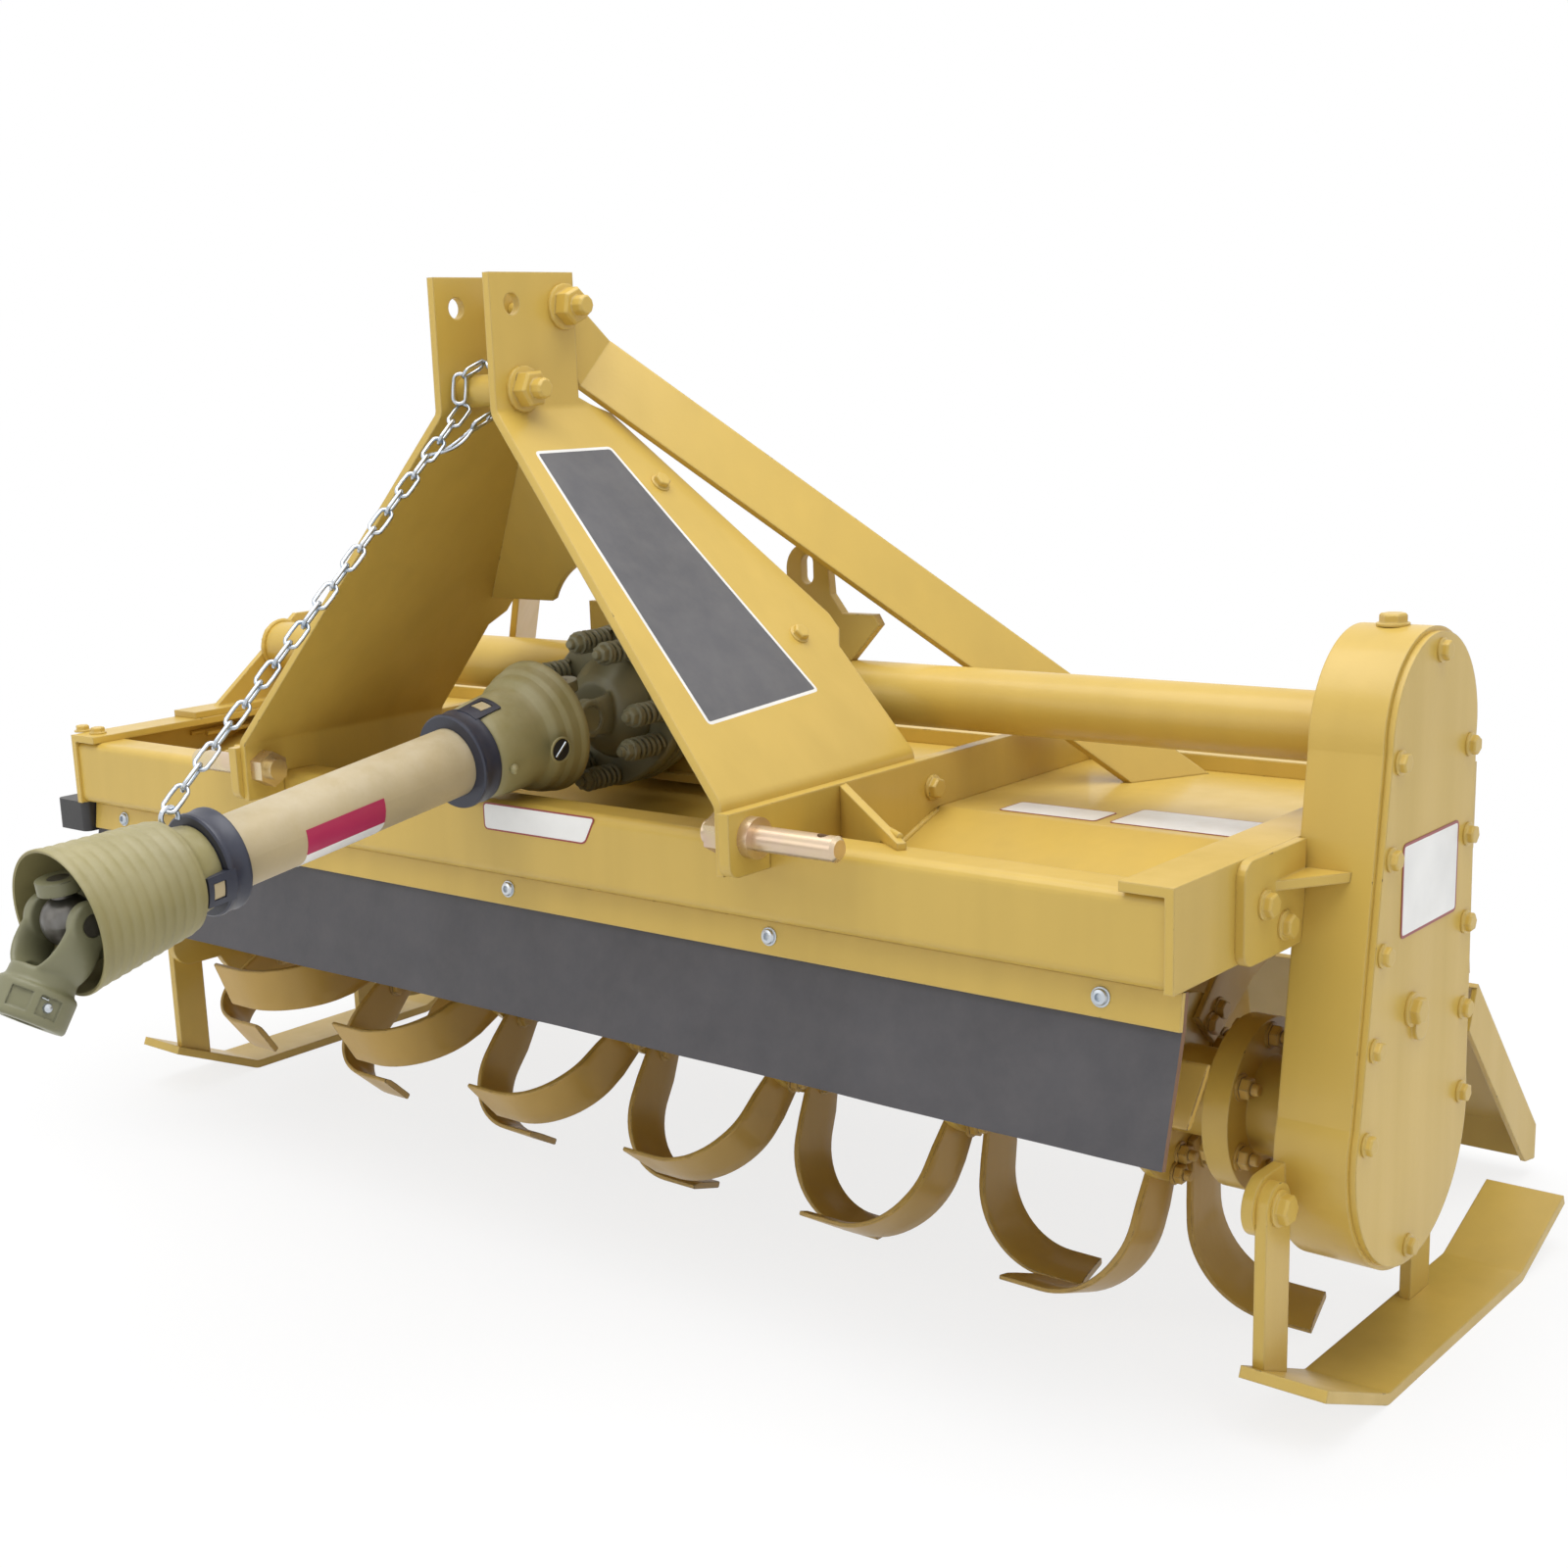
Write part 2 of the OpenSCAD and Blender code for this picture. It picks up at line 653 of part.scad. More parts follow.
// Lift plate: a slotted lug that saddles the cross tube
lift_x = 133;
lift_t = 10;
lift_ear_w = 52;
lift_shelf = 60;
lift_ear_h = 88;
lift_shelf_h = 46;
lift_slot_w = 15;
lift_slot_l = 14;
module lift_plate() {
  top = tube_z + tube_d / 2;
  ear_c = [lift_x + lift_ear_w / 2, top + lift_ear_h];
  shelf_x = lift_x + lift_ear_w + lift_shelf;
  y0 = axis_y - lift_t / 2;
  y1 = axis_y + lift_t / 2;
  color(paint) place() difference() {
    union() {
      along_y(y0, y1) translate(ear_c) circle(d = lift_ear_w);
      along_y(y0, y1)
        polygon([[lift_x, top], [lift_x, ear_c[1]], [lift_x + lift_ear_w, ear_c[1]],
          [lift_x + lift_ear_w + 2, top + lift_shelf_h + 18], [lift_x + lift_ear_w + 16, top + lift_shelf_h],
          [shelf_x - 6, top + lift_shelf_h], [shelf_x, top + lift_shelf_h - 10], [shelf_x - 34, top]]);
    }
    for (dz = [-lift_slot_l / 2, lift_slot_l / 2])
      along_y(y0 - 1, y1 + 1) translate(ear_c + [0, dz]) circle(d = lift_slot_w);
    along_y(y0 - 1, y1 + 1)
      translate(ear_c - [lift_slot_w, lift_slot_l] / 2) square([lift_slot_w, lift_slot_l]);
  }
}

// Left bracket: a gusset plate on its foot that carries the outer end of the left tube
bracket_foot_y = 145;
bracket_rear_y = 410;
bracket_toe = 46;
bracket_crown = [26, 90];
module tube_bracket() {
  foot = rail_top + bracket_t;
  top = tube_z + tube_d / 2 + 8;
  color(paint) place() on_left() {
    translate([half_w - rail_flange + 2, bracket_foot_y, rail_top])
      cube([rail_flange - 2, bracket_rear_y - bracket_foot_y, bracket_t]);
    along_x(bracket_x - bracket_t, bracket_x)
      polygon([[bracket_foot_y + bracket_toe, foot], [axis_y + bracket_crown[0], top],
        [axis_y + bracket_crown[1], top], [bracket_rear_y, foot]]);
  }
}

// Outline of the side gear case: two circles and their common tangents
case_up = [axis_y - rotor_y, tube_z - rotor_z];
case_tilt = asin((case_low_r - case_top_r) / norm(case_up));
module case_outline(inset) {
  top_r = case_top_r - inset;
  low_r = case_low_r - inset;
  axis = unit(case_up);
  out = turned(axis, -90 - case_tilt);
  in = turned(axis, 90 + case_tilt);
  up = [axis_y, tube_z];
  down = [rotor_y, rotor_z];
  translate(up) circle(r = top_r);
  translate(down) circle(r = low_r);
  polygon([up + out * top_r, down + out * low_r, down + in * low_r, up + in * top_r]);
}
// Front and rear tabs that hold the skid straps
module skid_tabs() {
  for (s = [-1, 1]) {
    from = rotor_y + s * (case_low_r - 20);
    to = rotor_y + s * strap_out;
    translate([to, strap_hole_z]) circle(r = tab_r);
    polygon([[to, strap_hole_z - tab_r], [to, strap_hole_z + tab_r], [from, strap_hole_z + tab_r],
      [from, strap_hole_z - tab_r]]);
  }
}
module gear_case() {
  color(paint) place() difference() {
    union() {
      along_x(case_x, case_x + case_w) case_outline(0);
      along_x(case_x, case_x + strap_t) skid_tabs();
      rod_x(case_x - boss_len, case_x, boss_d / 2, rotor_y, rotor_z);
    }
    rod_x(case_x - boss_len - 1, case_x + journal_depth, journal_d / 2 + fit, rotor_y, rotor_z);
  }
}
module case_cover() {
  face = case_x + case_w;
  color(paint) place() {
    along_x(face, face + cover_t) case_outline(cover_inset);
    rod_x(face + cover_t, face + cover_t + 4, 13, rotor_y, rotor_z + 96);
  }
}

// Bracket that bolts the case to the right end rail, with its level gusset
bracket_plate_y = 92;
bracket_plate_h = 84;
bracket_round = 14;
module case_bracket() {
  low = rail_top - bracket_plate_h;
  high = [bracket_plate_y, rail_top];
  down = [bracket_plate_y, low];
  front_top = bend_points([bracket_back, rail_top], high, down, bracket_round);
  front_low = bend_points(high, down, [bracket_back, low], bracket_round);
  outline = concat([[bracket_back, rail_top]], front_top, front_low, [[bracket_back, low]]);
  color(paint) place() difference() {
    union() {
      along_x(half_w, half_w + rail_t) polygon(outline);
      translate([half_w + rail_t, 0, frame_top - 24]) linear_extrude(rail_t)
        polygon([[0, bracket_back - 52], [0, bracket_back + 20], [case_w - 14, bracket_back + 20]]);
    }
    along_x(case_x - 1, case_x + case_w) case_outline(-0.2);
  }
}

// Left side plate with the outboard rotor bearing, in the case's own outline below the rail
plate_t = 10;
module side_plate() {
  color(paint) place() on_left() intersection() {
    union() {
      along_x(half_w, half_w + plate_t) case_outline(0);
      along_x(half_w, half_w + plate_t) skid_tabs();
    }
    translate([half_w, 0, 0]) cube([plate_t, frame_d, rail_top]);
  }
}
cap_len = 14;
module rotor_bearing() {
  color(paint) place() on_left() {
    difference() {
      rod_x(half_w - boss_len, half_w, boss_d / 2, rotor_y, rotor_z);
      rod_x(half_w - boss_len - 1, half_w - 2, journal_d / 2 + fit, rotor_y, rotor_z);
    }
    rod_x(half_w + plate_t, half_w + plate_t + cap_len, boss_d / 2 - 6, rotor_y, rotor_z);
  }
}

// Skids: turned up at toe and heel, with straps to the case or side plate
function skid_path() = [[sole_y0 - toe_len, skid_t / 2 + toe_rise], [sole_y0, skid_t / 2],
  [sole_y1, skid_t / 2], [sole_y1 + heel_len, skid_t / 2 + heel_rise]];
module skid() {
  along_x(skid_x, skid_x + skid_w) sheet(rounded(skid_path(), skid_t * 2), skid_t);
}
module skid_right() { color(paint) place() skid(); }
module skid_left() { color(paint) place() on_left() skid(); }
module skid_straps() {
  difference() {
    along_x(half_w + strap_t, half_w + 2 * strap_t)
      for (s = [-1, 1]) {
        translate([rotor_y + s * strap_out, strap_hole_z]) circle(d = strap_w);
        translate([rotor_y + s * strap_out - strap_w / 2, 0]) square([strap_w, strap_hole_z]);
      }
    along_x(half_w, half_w + 3 * strap_t)
      polygon(concat(shifted(rounded(skid_path(), skid_t * 2), skid_t / 2),
        [[sole_y1 + heel_len, -strap_w], [sole_y0 - toe_len, -strap_w]]));
  }
}
module skid_straps_right() { color(paint) place() skid_straps(); }
module skid_straps_left() { color(paint) place() on_left() skid_straps(); }

// Buffer block bolted under the front end of the left rail
block_size = [60, 40, 36];
module end_block() {
  r = 9;
  color(collar_black) place() translate([-half_w - block_size[0] / 2 + rail_t, 0, frame_z - block_size[2]])
    union() {
      linear_extrude(block_size[2]) difference() {
        translate([-block_size[0] / 2, 0]) square([block_size[0], block_size[1]]);
        translate([-block_size[0] / 2, 0]) square(r);
        translate([block_size[0] / 2 - r, 0]) square(r);
      }
      for (s = [-1, 1])
        translate([s * (block_size[0] / 2 - r), r, 0]) cylinder(r = r, h = block_size[2]);
    }
}

// Hinge ears of the tailboard, welded to the back of the hood
hinge_ear_h = 46;
module tail_hinges() {
  reach = knuckle_len / 2 + hinge_side_gap;
  high = lip_z + hinge_ear_h;
  low = lip_z - 2;
  color(paint) place() difference() {
    for (x = hinge_at, s = [-1, 1])
      along_x(x + s * (reach + ear_t / 2) - ear_t / 2, x + s * (reach + ear_t / 2) + ear_t / 2) {
        translate([hinge_y, hinge_z]) circle(r = ear_r);
        polygon([[rear_face_y(high), high], [rear_face_y(low), low], [hinge_y, hinge_z - ear_r],
          [hinge_y + ear_r, hinge_z]]);
      }
    rod_x(-half_w, half_w, hinge_d / 2 + fit, hinge_y, hinge_z);
    along_x(-half_w, half_w)
      polygon([[rear_face_y(low), low], [rear_face_y(high + ear_r), high + ear_r],
        [frame_d - ear_r, high + ear_r], [frame_d - ear_r, low]]);
  }
}

// Tailboard: a sheet with end flanges and a turned-down lip, hung on rolled knuckles
module tailboard() {
  down = [cos(tail_slope), -sin(tail_slope)];
  axis = [hinge_y, hinge_z];
  bend = [tail_bend_y, tail_bend_z];
  path = [axis + down * tail_start, bend, bend - [0, tail_lip]];
  pin_half = knuckle_len / 2 + hinge_side_gap + ear_t + 2;
  color(paint) place() {
    along_x(-tail_half_w, tail_half_w) sheet(path, tail_t);
    for (s = [-1, 1])
      along_x(s * tail_half_w - (s > 0 ? tail_t : 0), s * tail_half_w + (s < 0 ? tail_t : 0))
        polygon([path[0], bend, path[2], path[2] - [tail_flange * 0.6, -4],
          bend + left_of(down) * -tail_flange - down * tail_flange * 0.4,
          path[0] + left_of(down) * -tail_flange + down * tail_flange * 0.5]);
    for (x = hinge_at) {
      along_x(x - knuckle_len / 2, x + knuckle_len / 2) {
        translate(axis) circle(r = knuckle_r);
        sheet([axis, axis + down * (tail_start + tail_t)], tail_t);
      }
      rod_x(x - pin_half, x + pin_half, hinge_d / 2, hinge_y, hinge_z);
    }
  }
}

// Rotor shaft: tube, tine flanges, bolted coupling and journals
module rotor_shaft() {
  coupling_x = flange_last + coupling_gap;
  right_end = case_x - boss_len - end_gap;
  left_end = half_w - boss_len - end_gap;
  color(paint) place() {
    rod_x(flange_first - flange_t, coupling_x, rotor_d / 2, rotor_y, rotor_z);
    for (i = [0:flange_n - 1])
      rod_x(flange_first + i * flange_pitch - flange_t / 2, flange_first + i * flange_pitch + flange_t / 2,
        flange_d / 2, rotor_y, rotor_z);
    rod_x(coupling_x, coupling_x + 2 * coupling_t, coupling_d / 2, rotor_y, rotor_z);
    rod_x(coupling_x + 2 * coupling_t, right_end, hub_d / 2, rotor_y, rotor_z);
    rod_x(right_end, case_x + journal_depth - end_gap, journal_d / 2, rotor_y, rotor_z);
    rod_x(-left_end, flange_first - flange_t, hub_d / 2, rotor_y, rotor_z);
    rod_x(-half_w + end_gap, -left_end, journal_d / 2, rotor_y, rotor_z);
  }
}

// Tines: flat blades bolted to both faces of each flange and bent sideways at the foot
tine_start = 180 + 14 - 6 * 11;
module tine() {
  top = tine_reach - tine_t / 2;
  path = [[0, tine_base], [0, top], [tine_foot - tine_t / 2, top]];
  half = tine_w / 2;
  tip = flange_t / 2 + tine_foot;
  intersection() {
    translate([flange_t / 2 + tine_t / 2, 0, 0])
      along_y(-tine_w, tine_w) sheet(rounded(path, tine_bend), tine_t);
    along_x(0, 2 * tine_foot)
      polygon([[-half * 0.8 - tine_sweep, tine_base], [half * 0.8 - tine_sweep, tine_base],
        [half * 0.9, tine_reach * 0.55], [half + tine_sweep, tine_reach], [tine_sweep - half, tine_reach],
        [-half - tine_sweep * 0.5, tine_reach * 0.55]]);
    linear_extrude(2 * tine_r)
      polygon([[0, -tine_w], [tip - tine_tip_cut, -tine_w], [tip, tine_w], [0, tine_w]]);
  }
}
// The outer face of the first flange carries none
module tines() {
  color(paint) place() translate([0, rotor_y, rotor_z])
    for (i = [0:flange_n - 1], k = [0:tine_n - 1]) {
      turn = tine_start + i * tine_step + k * 360 / tine_n;
      translate([flange_first + i * flange_pitch, 0, 0]) {
        rotate([turn, 0, 0]) tine();
        if (i > 0)
          rotate([turn - tine_lag, 0, 0]) mirror([1, 0, 0]) tine();
      }
    }
}

// Frames of the drive: about the rear joint, along the driveline, and along the drooping yoke
module at_input() { place() translate([0, joint_y, input_z]) rotate([90, 0, 0]) children(); }
module at_drive() { place() translate([0, joint_y, input_z]) rotate([90 + drive_droop, 0, 0]) children(); }
module at_front() { at_drive() translate([0, 0, drive_len]) children(); }
module at_yoke() { at_front() rotate([yoke_droop, 0, 0]) children(); }

// One ear of a joint yoke about X, reaching back along -Z to its stem
module yoke_ears(back) {
  for (s = [-1, 1])
    translate([s * (yoke_ear_in + yoke_ear_out) / 2, 0, 0]) rotate([0, 90, 0])
      difference() {
        union() {
          cylinder(r = yoke_ear_r, h = yoke_ear_out - yoke_ear_in, center = true);
          translate([0, -yoke_ear_r * 0.8, (yoke_ear_in - yoke_ear_out) / 2])
            cube([back, yoke_ear_r * 1.6, yoke_ear_out - yoke_ear_in]);
        }
        cylinder(d = trunnion_d + 2 * fit, h = 2 * yoke_ear_out, center = true);
      }
}
// Cross of a universal joint: trunnions along X and Y
module joint_cross() {
  for (a = [0, 90])
    rotate([0, 90, a]) cylinder(d = trunnion_d, h = 2 * yoke_ear_out, center = true);
  sphere(r = yoke_ear_in - 3);
}

// Slip clutch: pressed plates on the input shaft with a ring of spring bolts
module slip_clutch() {
  color(cast_green) at_input() translate([0, 0, -clutch_front - clutch_len]) {
    cylinder(d = clutch_d, h = 10);
    translate([0, 0, 10]) cylinder(d = clutch_d - 12, h = 5);
    translate([0, 0, 15]) cylinder(d = clutch_d - 4, h = 12);
    translate([0, 0, 27]) cylinder(d = clutch_d - 12, h = 5);
    translate([0, 0, 32]) cylinder(d = clutch_d, h = 8);
    translate([0, 0, 40]) cylinder(d = clutch_d - 70, h = clutch_len - 40);
    translate([0, 0, -input_len]) cylinder(d = input_d, h = input_len);
  }
}
module clutch_springs() {
  coils = 5;
  step = spring_len / coils;
  wave = [for (i = [0:coils - 1]) each [[spring_d / 2 - 3, i * step], [spring_d / 2, (i + 0.3) * step],
    [spring_d / 2, (i + 0.7) * step], [spring_d / 2 - 3, (i + 1) * step]]];
  color(cast_green) at_input() translate([0, 0, -clutch_front - clutch_len + 40])
    for (i = [0:spring_pairs - 1], s = [-1, 1])
      rotate([0, 0, spring_turn + s * spring_pair + i * 360 / spring_pairs]) translate([spring_ring, 0, 0]) {
        rotate_extrude() polygon(concat([[0, 0]], wave, [[0, spring_len]]));
        translate([0, 0, spring_len]) cylinder(d = spring_d * 0.8, h = 8, $fn = 6);
        translate([0, 0, spring_len + 8]) cylinder(d = 10, h = 6);
      }
}
module clutch_yoke() {
  color(cast_green) at_input() {
    yoke_ears(yoke_stem);
    translate([0, 0, -clutch_front]) cylinder(r = yoke_ear_out + 4, h = clutch_front - yoke_stem + 6);
  }
}

// Driveline: rear cross, inner yokes, shaft and the plastic guard over them
module rear_cross() { color(zinc) at_drive() joint_cross(); }
module inner_yoke() {
  rotate([180, 0, 90]) yoke_ears(yoke_stem);
  translate([0, 0, yoke_stem - 6]) cylinder(r = yoke_ear_out, h = 10);
  translate([0, 0, yoke_stem + 4]) cylinder(r = neck_r, h = 30);
}
module rear_yoke() { color(cast_green) at_drive() inner_yoke(); }
module front_inner_yoke() { color(cast_green) at_front() mirror([0, 0, 1]) inner_yoke(); }
module drive_shaft() {
  ends = yoke_stem + 34;
  color(zinc) at_drive() translate([0, 0, ends]) cylinder(r = shaft_r, h = drive_len - 2 * ends);
}
// Ribbed cone: the wall swells once per rib from the collar to the mouth
module guard_cone() {
  steps = 4 * cone_ribs;
  mouth_r = cone_d / 2;
  wall = [for (i = [0:steps])
    let (f = i / steps)
    [cone_small_r + (mouth_r - cone_small_r) * pow(f, 0.8) + (i % 4 == 2 ? 1.6 : 0), cone_len * (1 - f)]];
  rotate_extrude()
    polygon(concat(wall, reversed([for (p = wall) [p[0] - cone_t, p[1]]])));
}
// Bell: a neck that passes over the beam, then a quick flare to a stepped mouth
bell_neck = 7.5;
bell_flare = 0.52;
function bell_r(f) = f < bell_flare ? cone_small_r + bell_neck * pow(f / bell_flare, 0.5)
  : cone_small_r + bell_neck + (bell_d / 2 - cone_small_r - bell_neck)
    * min(1, pow((f - bell_flare) / (0.8 - bell_flare), 0.6));
module guard_bell() {
  steps = 16;
  wall = [for (i = [0:steps])
    let (f = i / steps)
    [bell_r(f) - (i == 10 || i == 12 ? 1.6 : 0) - (i == steps ? 3 : 0), bell_len * (1 - f)]];
  rotate_extrude()
    polygon(concat(wall, reversed([for (p = wall) [p[0] - cone_t, p[1]]])));
}
module guard_cones() {
  color(guard_tan) at_drive() {
    translate([0, 0, rear_mouth]) guard_bell();
    translate([0, 0, drive_len + front_mouth]) mirror([0, 0, 1]) guard_cone();
  }
}
guard_from = rear_mouth + bell_len;
guard_to = drive_len + front_mouth - cone_len;
module guard_tube() {
  color(guard_tan) at_drive() difference() {
    translate([0, 0, guard_from]) cylinder(d = guard_d, h = guard_to - guard_from);
    translate([0, 0, guard_from - 1]) cylinder(r = guard_d / 2 - guard_t, h = guard_to - guard_from + 2);
  }
}
// Collars: black bearing rings that join each cone to the tube and ride on the shaft
module guard_collars() {
  color(collar_black) at_drive()
    for (z = [guard_from - collar_len, guard_to])
      difference() {
        union() {
          translate([0, 0, z]) cylinder(r = cone_small_r - cone_t - 0.3, h = collar_len);
          translate([0, 0, z == guard_to ? z - collar_len : z + collar_len])
            cylinder(r = collar_r, h = collar_len);
        }
        translate([0, 0, z - 2 * collar_len]) cylinder(r = shaft_r + 0.3, h = 5 * collar_len);
        translate([0, 0, z == guard_to ? z - 2 * collar_len : z + collar_len])
          cylinder(r = guard_d / 2 + 0.2, h = 2 * collar_len);
      }
}
module front_cross() { color(zinc) at_front() joint_cross(); }
// Front yoke: ears, splined hub and the pull collar of its quick release
module front_yoke() {
  color(cast_green) at_yoke() difference() {
    union() {
      mirror([0, 0, 1]) yoke_ears(hub_start + 4);
      translate([-yoke_ear_out, -yoke_ear_r * 0.8, hub_start]) cube([2 * yoke_ear_out, yoke_ear_r * 1.6, 8]);
      translate([0, 0, hub_start]) cylinder(r = hub_r, h = hub_len - hub_start);
      translate([0, 0, hub_len - hub_collar_len]) cylinder(r = hub_collar_r, h = hub_collar_len);
    }
    translate([0, 0, hub_start - 1]) cylinder(d = pto_bore_d, h = hub_len);
  }
}

// Holding chain: round-wire links from the hook on the front cone up to the mast spacer
function link_point(a, r, l) = [r * cos(a), r * sin(a) + (sin(a) >= 0 ? l : -l), 0];
module link(length, wide) {
  stations = 14;
  sides = 6;
  r = (wide - chain_wire) / 2;
  l = (length - wide) / 2;
  ring = [for (i = [0:stations - 1]) (i + 0.5) * 360 / stations];
  points = [for (a = ring, k = [0:sides - 1])
    let (b = 360 * k / sides)
    link_point(a, r, l) + chain_wire / 2 * [cos(b) * cos(a), cos(b) * sin(a), sin(b)]];
  faces = [for (i = [0:stations - 1], k = [0:sides - 1])
    let (j = (i + 1) % stations, m = (k + 1) % sides)
    [i * sides + k, i * sides + m, j * sides + m, j * sides + k]];
  polyhedron(points, faces, convexity = 4);
}
chain_foot = [front_joint_y + hook_back * cos(drive_droop) - hook_r * sin(drive_droop),
  front_joint_z + hook_back * sin(drive_droop) + hook_r * cos(drive_droop)];
chain_stop = spacer_d / 2 + chain_wire + link_play;
chain_head = [spacer_y, spacer_z] - chain_stop * unit([spacer_y, spacer_z] - chain_foot);
chain_n = floor(norm(chain_head - chain_foot) / chain_pitch);
module chain() {
  run = unit(chain_head - chain_foot);
  rise = atan2(run[1], run[0]);
  step = norm(chain_head - chain_foot) / chain_n;
  color(zinc) place()
    for (i = [0:chain_n - 1]) {
      at = chain_foot + run * step * (i + 0.5);
      translate([0, at[0], at[1]]) rotate([rise, 0, 0]) rotate([0, (i % 2) * 90 + 45, 0])
        link(step + 2 * chain_wire + link_play, chain_wire * 3.4);
    }
}

front_beam();
end_rail_left();
end_rail_right();
rear_rail();
hood();
hood_back();
flap_clamp();
front_flap();
hitch_rail_left();
hitch_rail_right();
rail_gussets();
lower_pin_left();
lower_pin_right();
mast_left();
mast_right();
mast_web();
mast_spacer();
brace_left();
brace_right();
brace_bolt();
gearbox();
gearbox_saddle();
cross_tube();
lift_plate();
tube_bracket();
side_plate();
rotor_bearing();
gear_case();
case_cover();
case_bracket();
skid_left();
skid_right();
skid_straps_left();
skid_straps_right();
end_block();
tail_hinges();
slip_clutch();
clutch_springs();
clutch_yoke();
chain();
rotor_shaft();
tines();
tailboard();
rear_cross();
rear_yoke();
drive_shaft();
front_inner_yoke();
guard_tube();
guard_cones();
guard_collars();
front_cross();
front_yoke();
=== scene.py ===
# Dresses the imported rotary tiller: enamel, rubber, zinc and cast finishes, bolts, welds,
# coil springs, guard mouldings and the holding chain, in the frame of the solids.
import json
import math

import bmesh
import bpy
from mathutils import Matrix, Vector


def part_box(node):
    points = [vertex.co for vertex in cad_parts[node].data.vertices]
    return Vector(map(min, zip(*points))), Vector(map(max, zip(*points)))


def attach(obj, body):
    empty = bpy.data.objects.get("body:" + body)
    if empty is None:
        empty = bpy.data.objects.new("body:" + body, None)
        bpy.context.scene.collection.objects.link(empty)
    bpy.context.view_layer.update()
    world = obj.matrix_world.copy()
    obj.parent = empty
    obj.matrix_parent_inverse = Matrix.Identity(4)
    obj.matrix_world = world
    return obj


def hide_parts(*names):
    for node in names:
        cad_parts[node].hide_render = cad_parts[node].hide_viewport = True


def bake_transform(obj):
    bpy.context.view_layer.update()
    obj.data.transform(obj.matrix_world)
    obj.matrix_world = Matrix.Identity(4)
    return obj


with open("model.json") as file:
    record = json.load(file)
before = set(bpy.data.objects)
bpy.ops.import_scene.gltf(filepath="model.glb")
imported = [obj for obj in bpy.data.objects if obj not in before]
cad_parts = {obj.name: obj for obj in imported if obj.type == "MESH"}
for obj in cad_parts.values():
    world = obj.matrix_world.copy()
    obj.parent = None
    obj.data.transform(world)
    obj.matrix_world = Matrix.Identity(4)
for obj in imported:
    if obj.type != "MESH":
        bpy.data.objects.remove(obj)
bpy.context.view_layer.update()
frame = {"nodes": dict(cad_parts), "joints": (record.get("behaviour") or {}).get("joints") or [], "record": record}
scene = bpy.context.scene

# Studio: a white paper floor under a large overcast-like sky, one overhead softbox and two
# fills, and the camera where the photographer stood, a little right of the hitch.
beam_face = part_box("front_beam")[0].y


def at(x, y, z):
    """Millimetres from the hitch centre, the beam face and the soles, as a point in metres."""
    return Vector((x / 1000, beam_face + y / 1000, z / 1000))


def node(tree, kind, inputs=None, **settings):
    """Adds a node; a value in inputs is set on the socket and a socket is linked to it."""
    made = tree.nodes.new(kind)
    for key, value in settings.items():
        setattr(made, key, value)
    for key, value in (inputs or {}).items():
        if isinstance(value, bpy.types.NodeSocket):
            tree.links.new(value, made.inputs[key])
        else:
            made.inputs[key].default_value = value
    return made


def sums(tree, operation, *terms):
    """The result of one Math node on the terms."""
    return node(tree, "ShaderNodeMath", dict(enumerate(terms)), operation=operation).outputs[0]


def ranged(tree, value, low, high, to_low=0.0, to_high=1.0, **settings):
    """A value spread from one range over another."""
    stops = {0: value, 1: low, 2: high, 3: to_low, 4: to_high}
    return node(tree, "ShaderNodeMapRange", stops, **settings).outputs[0]


def noise(tree, where, scale, detail, roughness=0.5):
    """Cloudy noise over a place."""
    look = {"Vector": where, "Scale": scale, "Detail": detail, "Roughness": roughness}
    return node(tree, "ShaderNodeTexNoise", look).outputs[0]


def sees_paper(tree):
    """One for rays that look at the paper: the camera's, and those off metal and through glass."""
    path = node(tree, "ShaderNodeLightPath").outputs
    through = sums(tree, "MAXIMUM", path["Is Glossy Ray"], path["Is Transmission Ray"])
    return sums(tree, "MAXIMUM", path["Is Camera Ray"], through)


yaw, pitch, roll = (math.radians(a) for a in (42.8, 12.6, -2.71))
ahead = Vector((-math.sin(yaw) * math.cos(pitch), math.cos(yaw) * math.cos(pitch), -math.sin(pitch)))
right = Vector((math.cos(yaw), math.sin(yaw), 0))
above = right.cross(ahead)
right, above = (right * math.cos(roll) + above * math.sin(roll),
                above * math.cos(roll) - right * math.sin(roll))
lens = bpy.data.cameras.new("photo_camera")
lens.lens = 47.7
lens.sensor_width = 36
lens.shift_x = 0.0872
lens.shift_y = 0.040
lens.clip_start = 0.05
camera = bpy.data.objects.new("photo_camera", lens)
turn = Matrix((right, above, -ahead)).transposed().to_4x4()
camera.matrix_world = Matrix.Translation(at(1436.9, -1336.8, 858.3)) @ turn
scene.collection.objects.link(camera)
scene.camera = camera
scene.view_settings.view_transform = "Standard"

sky = bpy.data.worlds.new("overcast")
scene.world = sky
sky.use_nodes = True
tree = sky.node_tree
tree.nodes.clear()
glow = node(tree, "ShaderNodeBackground", {"Color": (0.95, 0.97, 1.0, 1), "Strength": 0.68})
paper = node(tree, "ShaderNodeBackground", {"Color": (1, 1, 1, 1), "Strength": 1.0})
both = node(tree, "ShaderNodeMixShader", {0: sees_paper(tree), 1: glow.outputs[0], 2: paper.outputs[0]})
node(tree, "ShaderNodeOutputWorld", {"Surface": both.outputs[0]})


def softbox(name, place, target, size, watts, tint=(1, 1, 1)):
    lamp = bpy.data.lights.new(name, "AREA")
    lamp.shape = "RECTANGLE"
    lamp.size, lamp.size_y = size
    lamp.energy = watts
    lamp.color = tint
    holder = bpy.data.objects.new(name, lamp)
    holder.location = place
    holder.rotation_euler = (Vector(target) - Vector(place)).to_track_quat("-Z", "Y").to_euler()
    scene.collection.objects.link(holder)


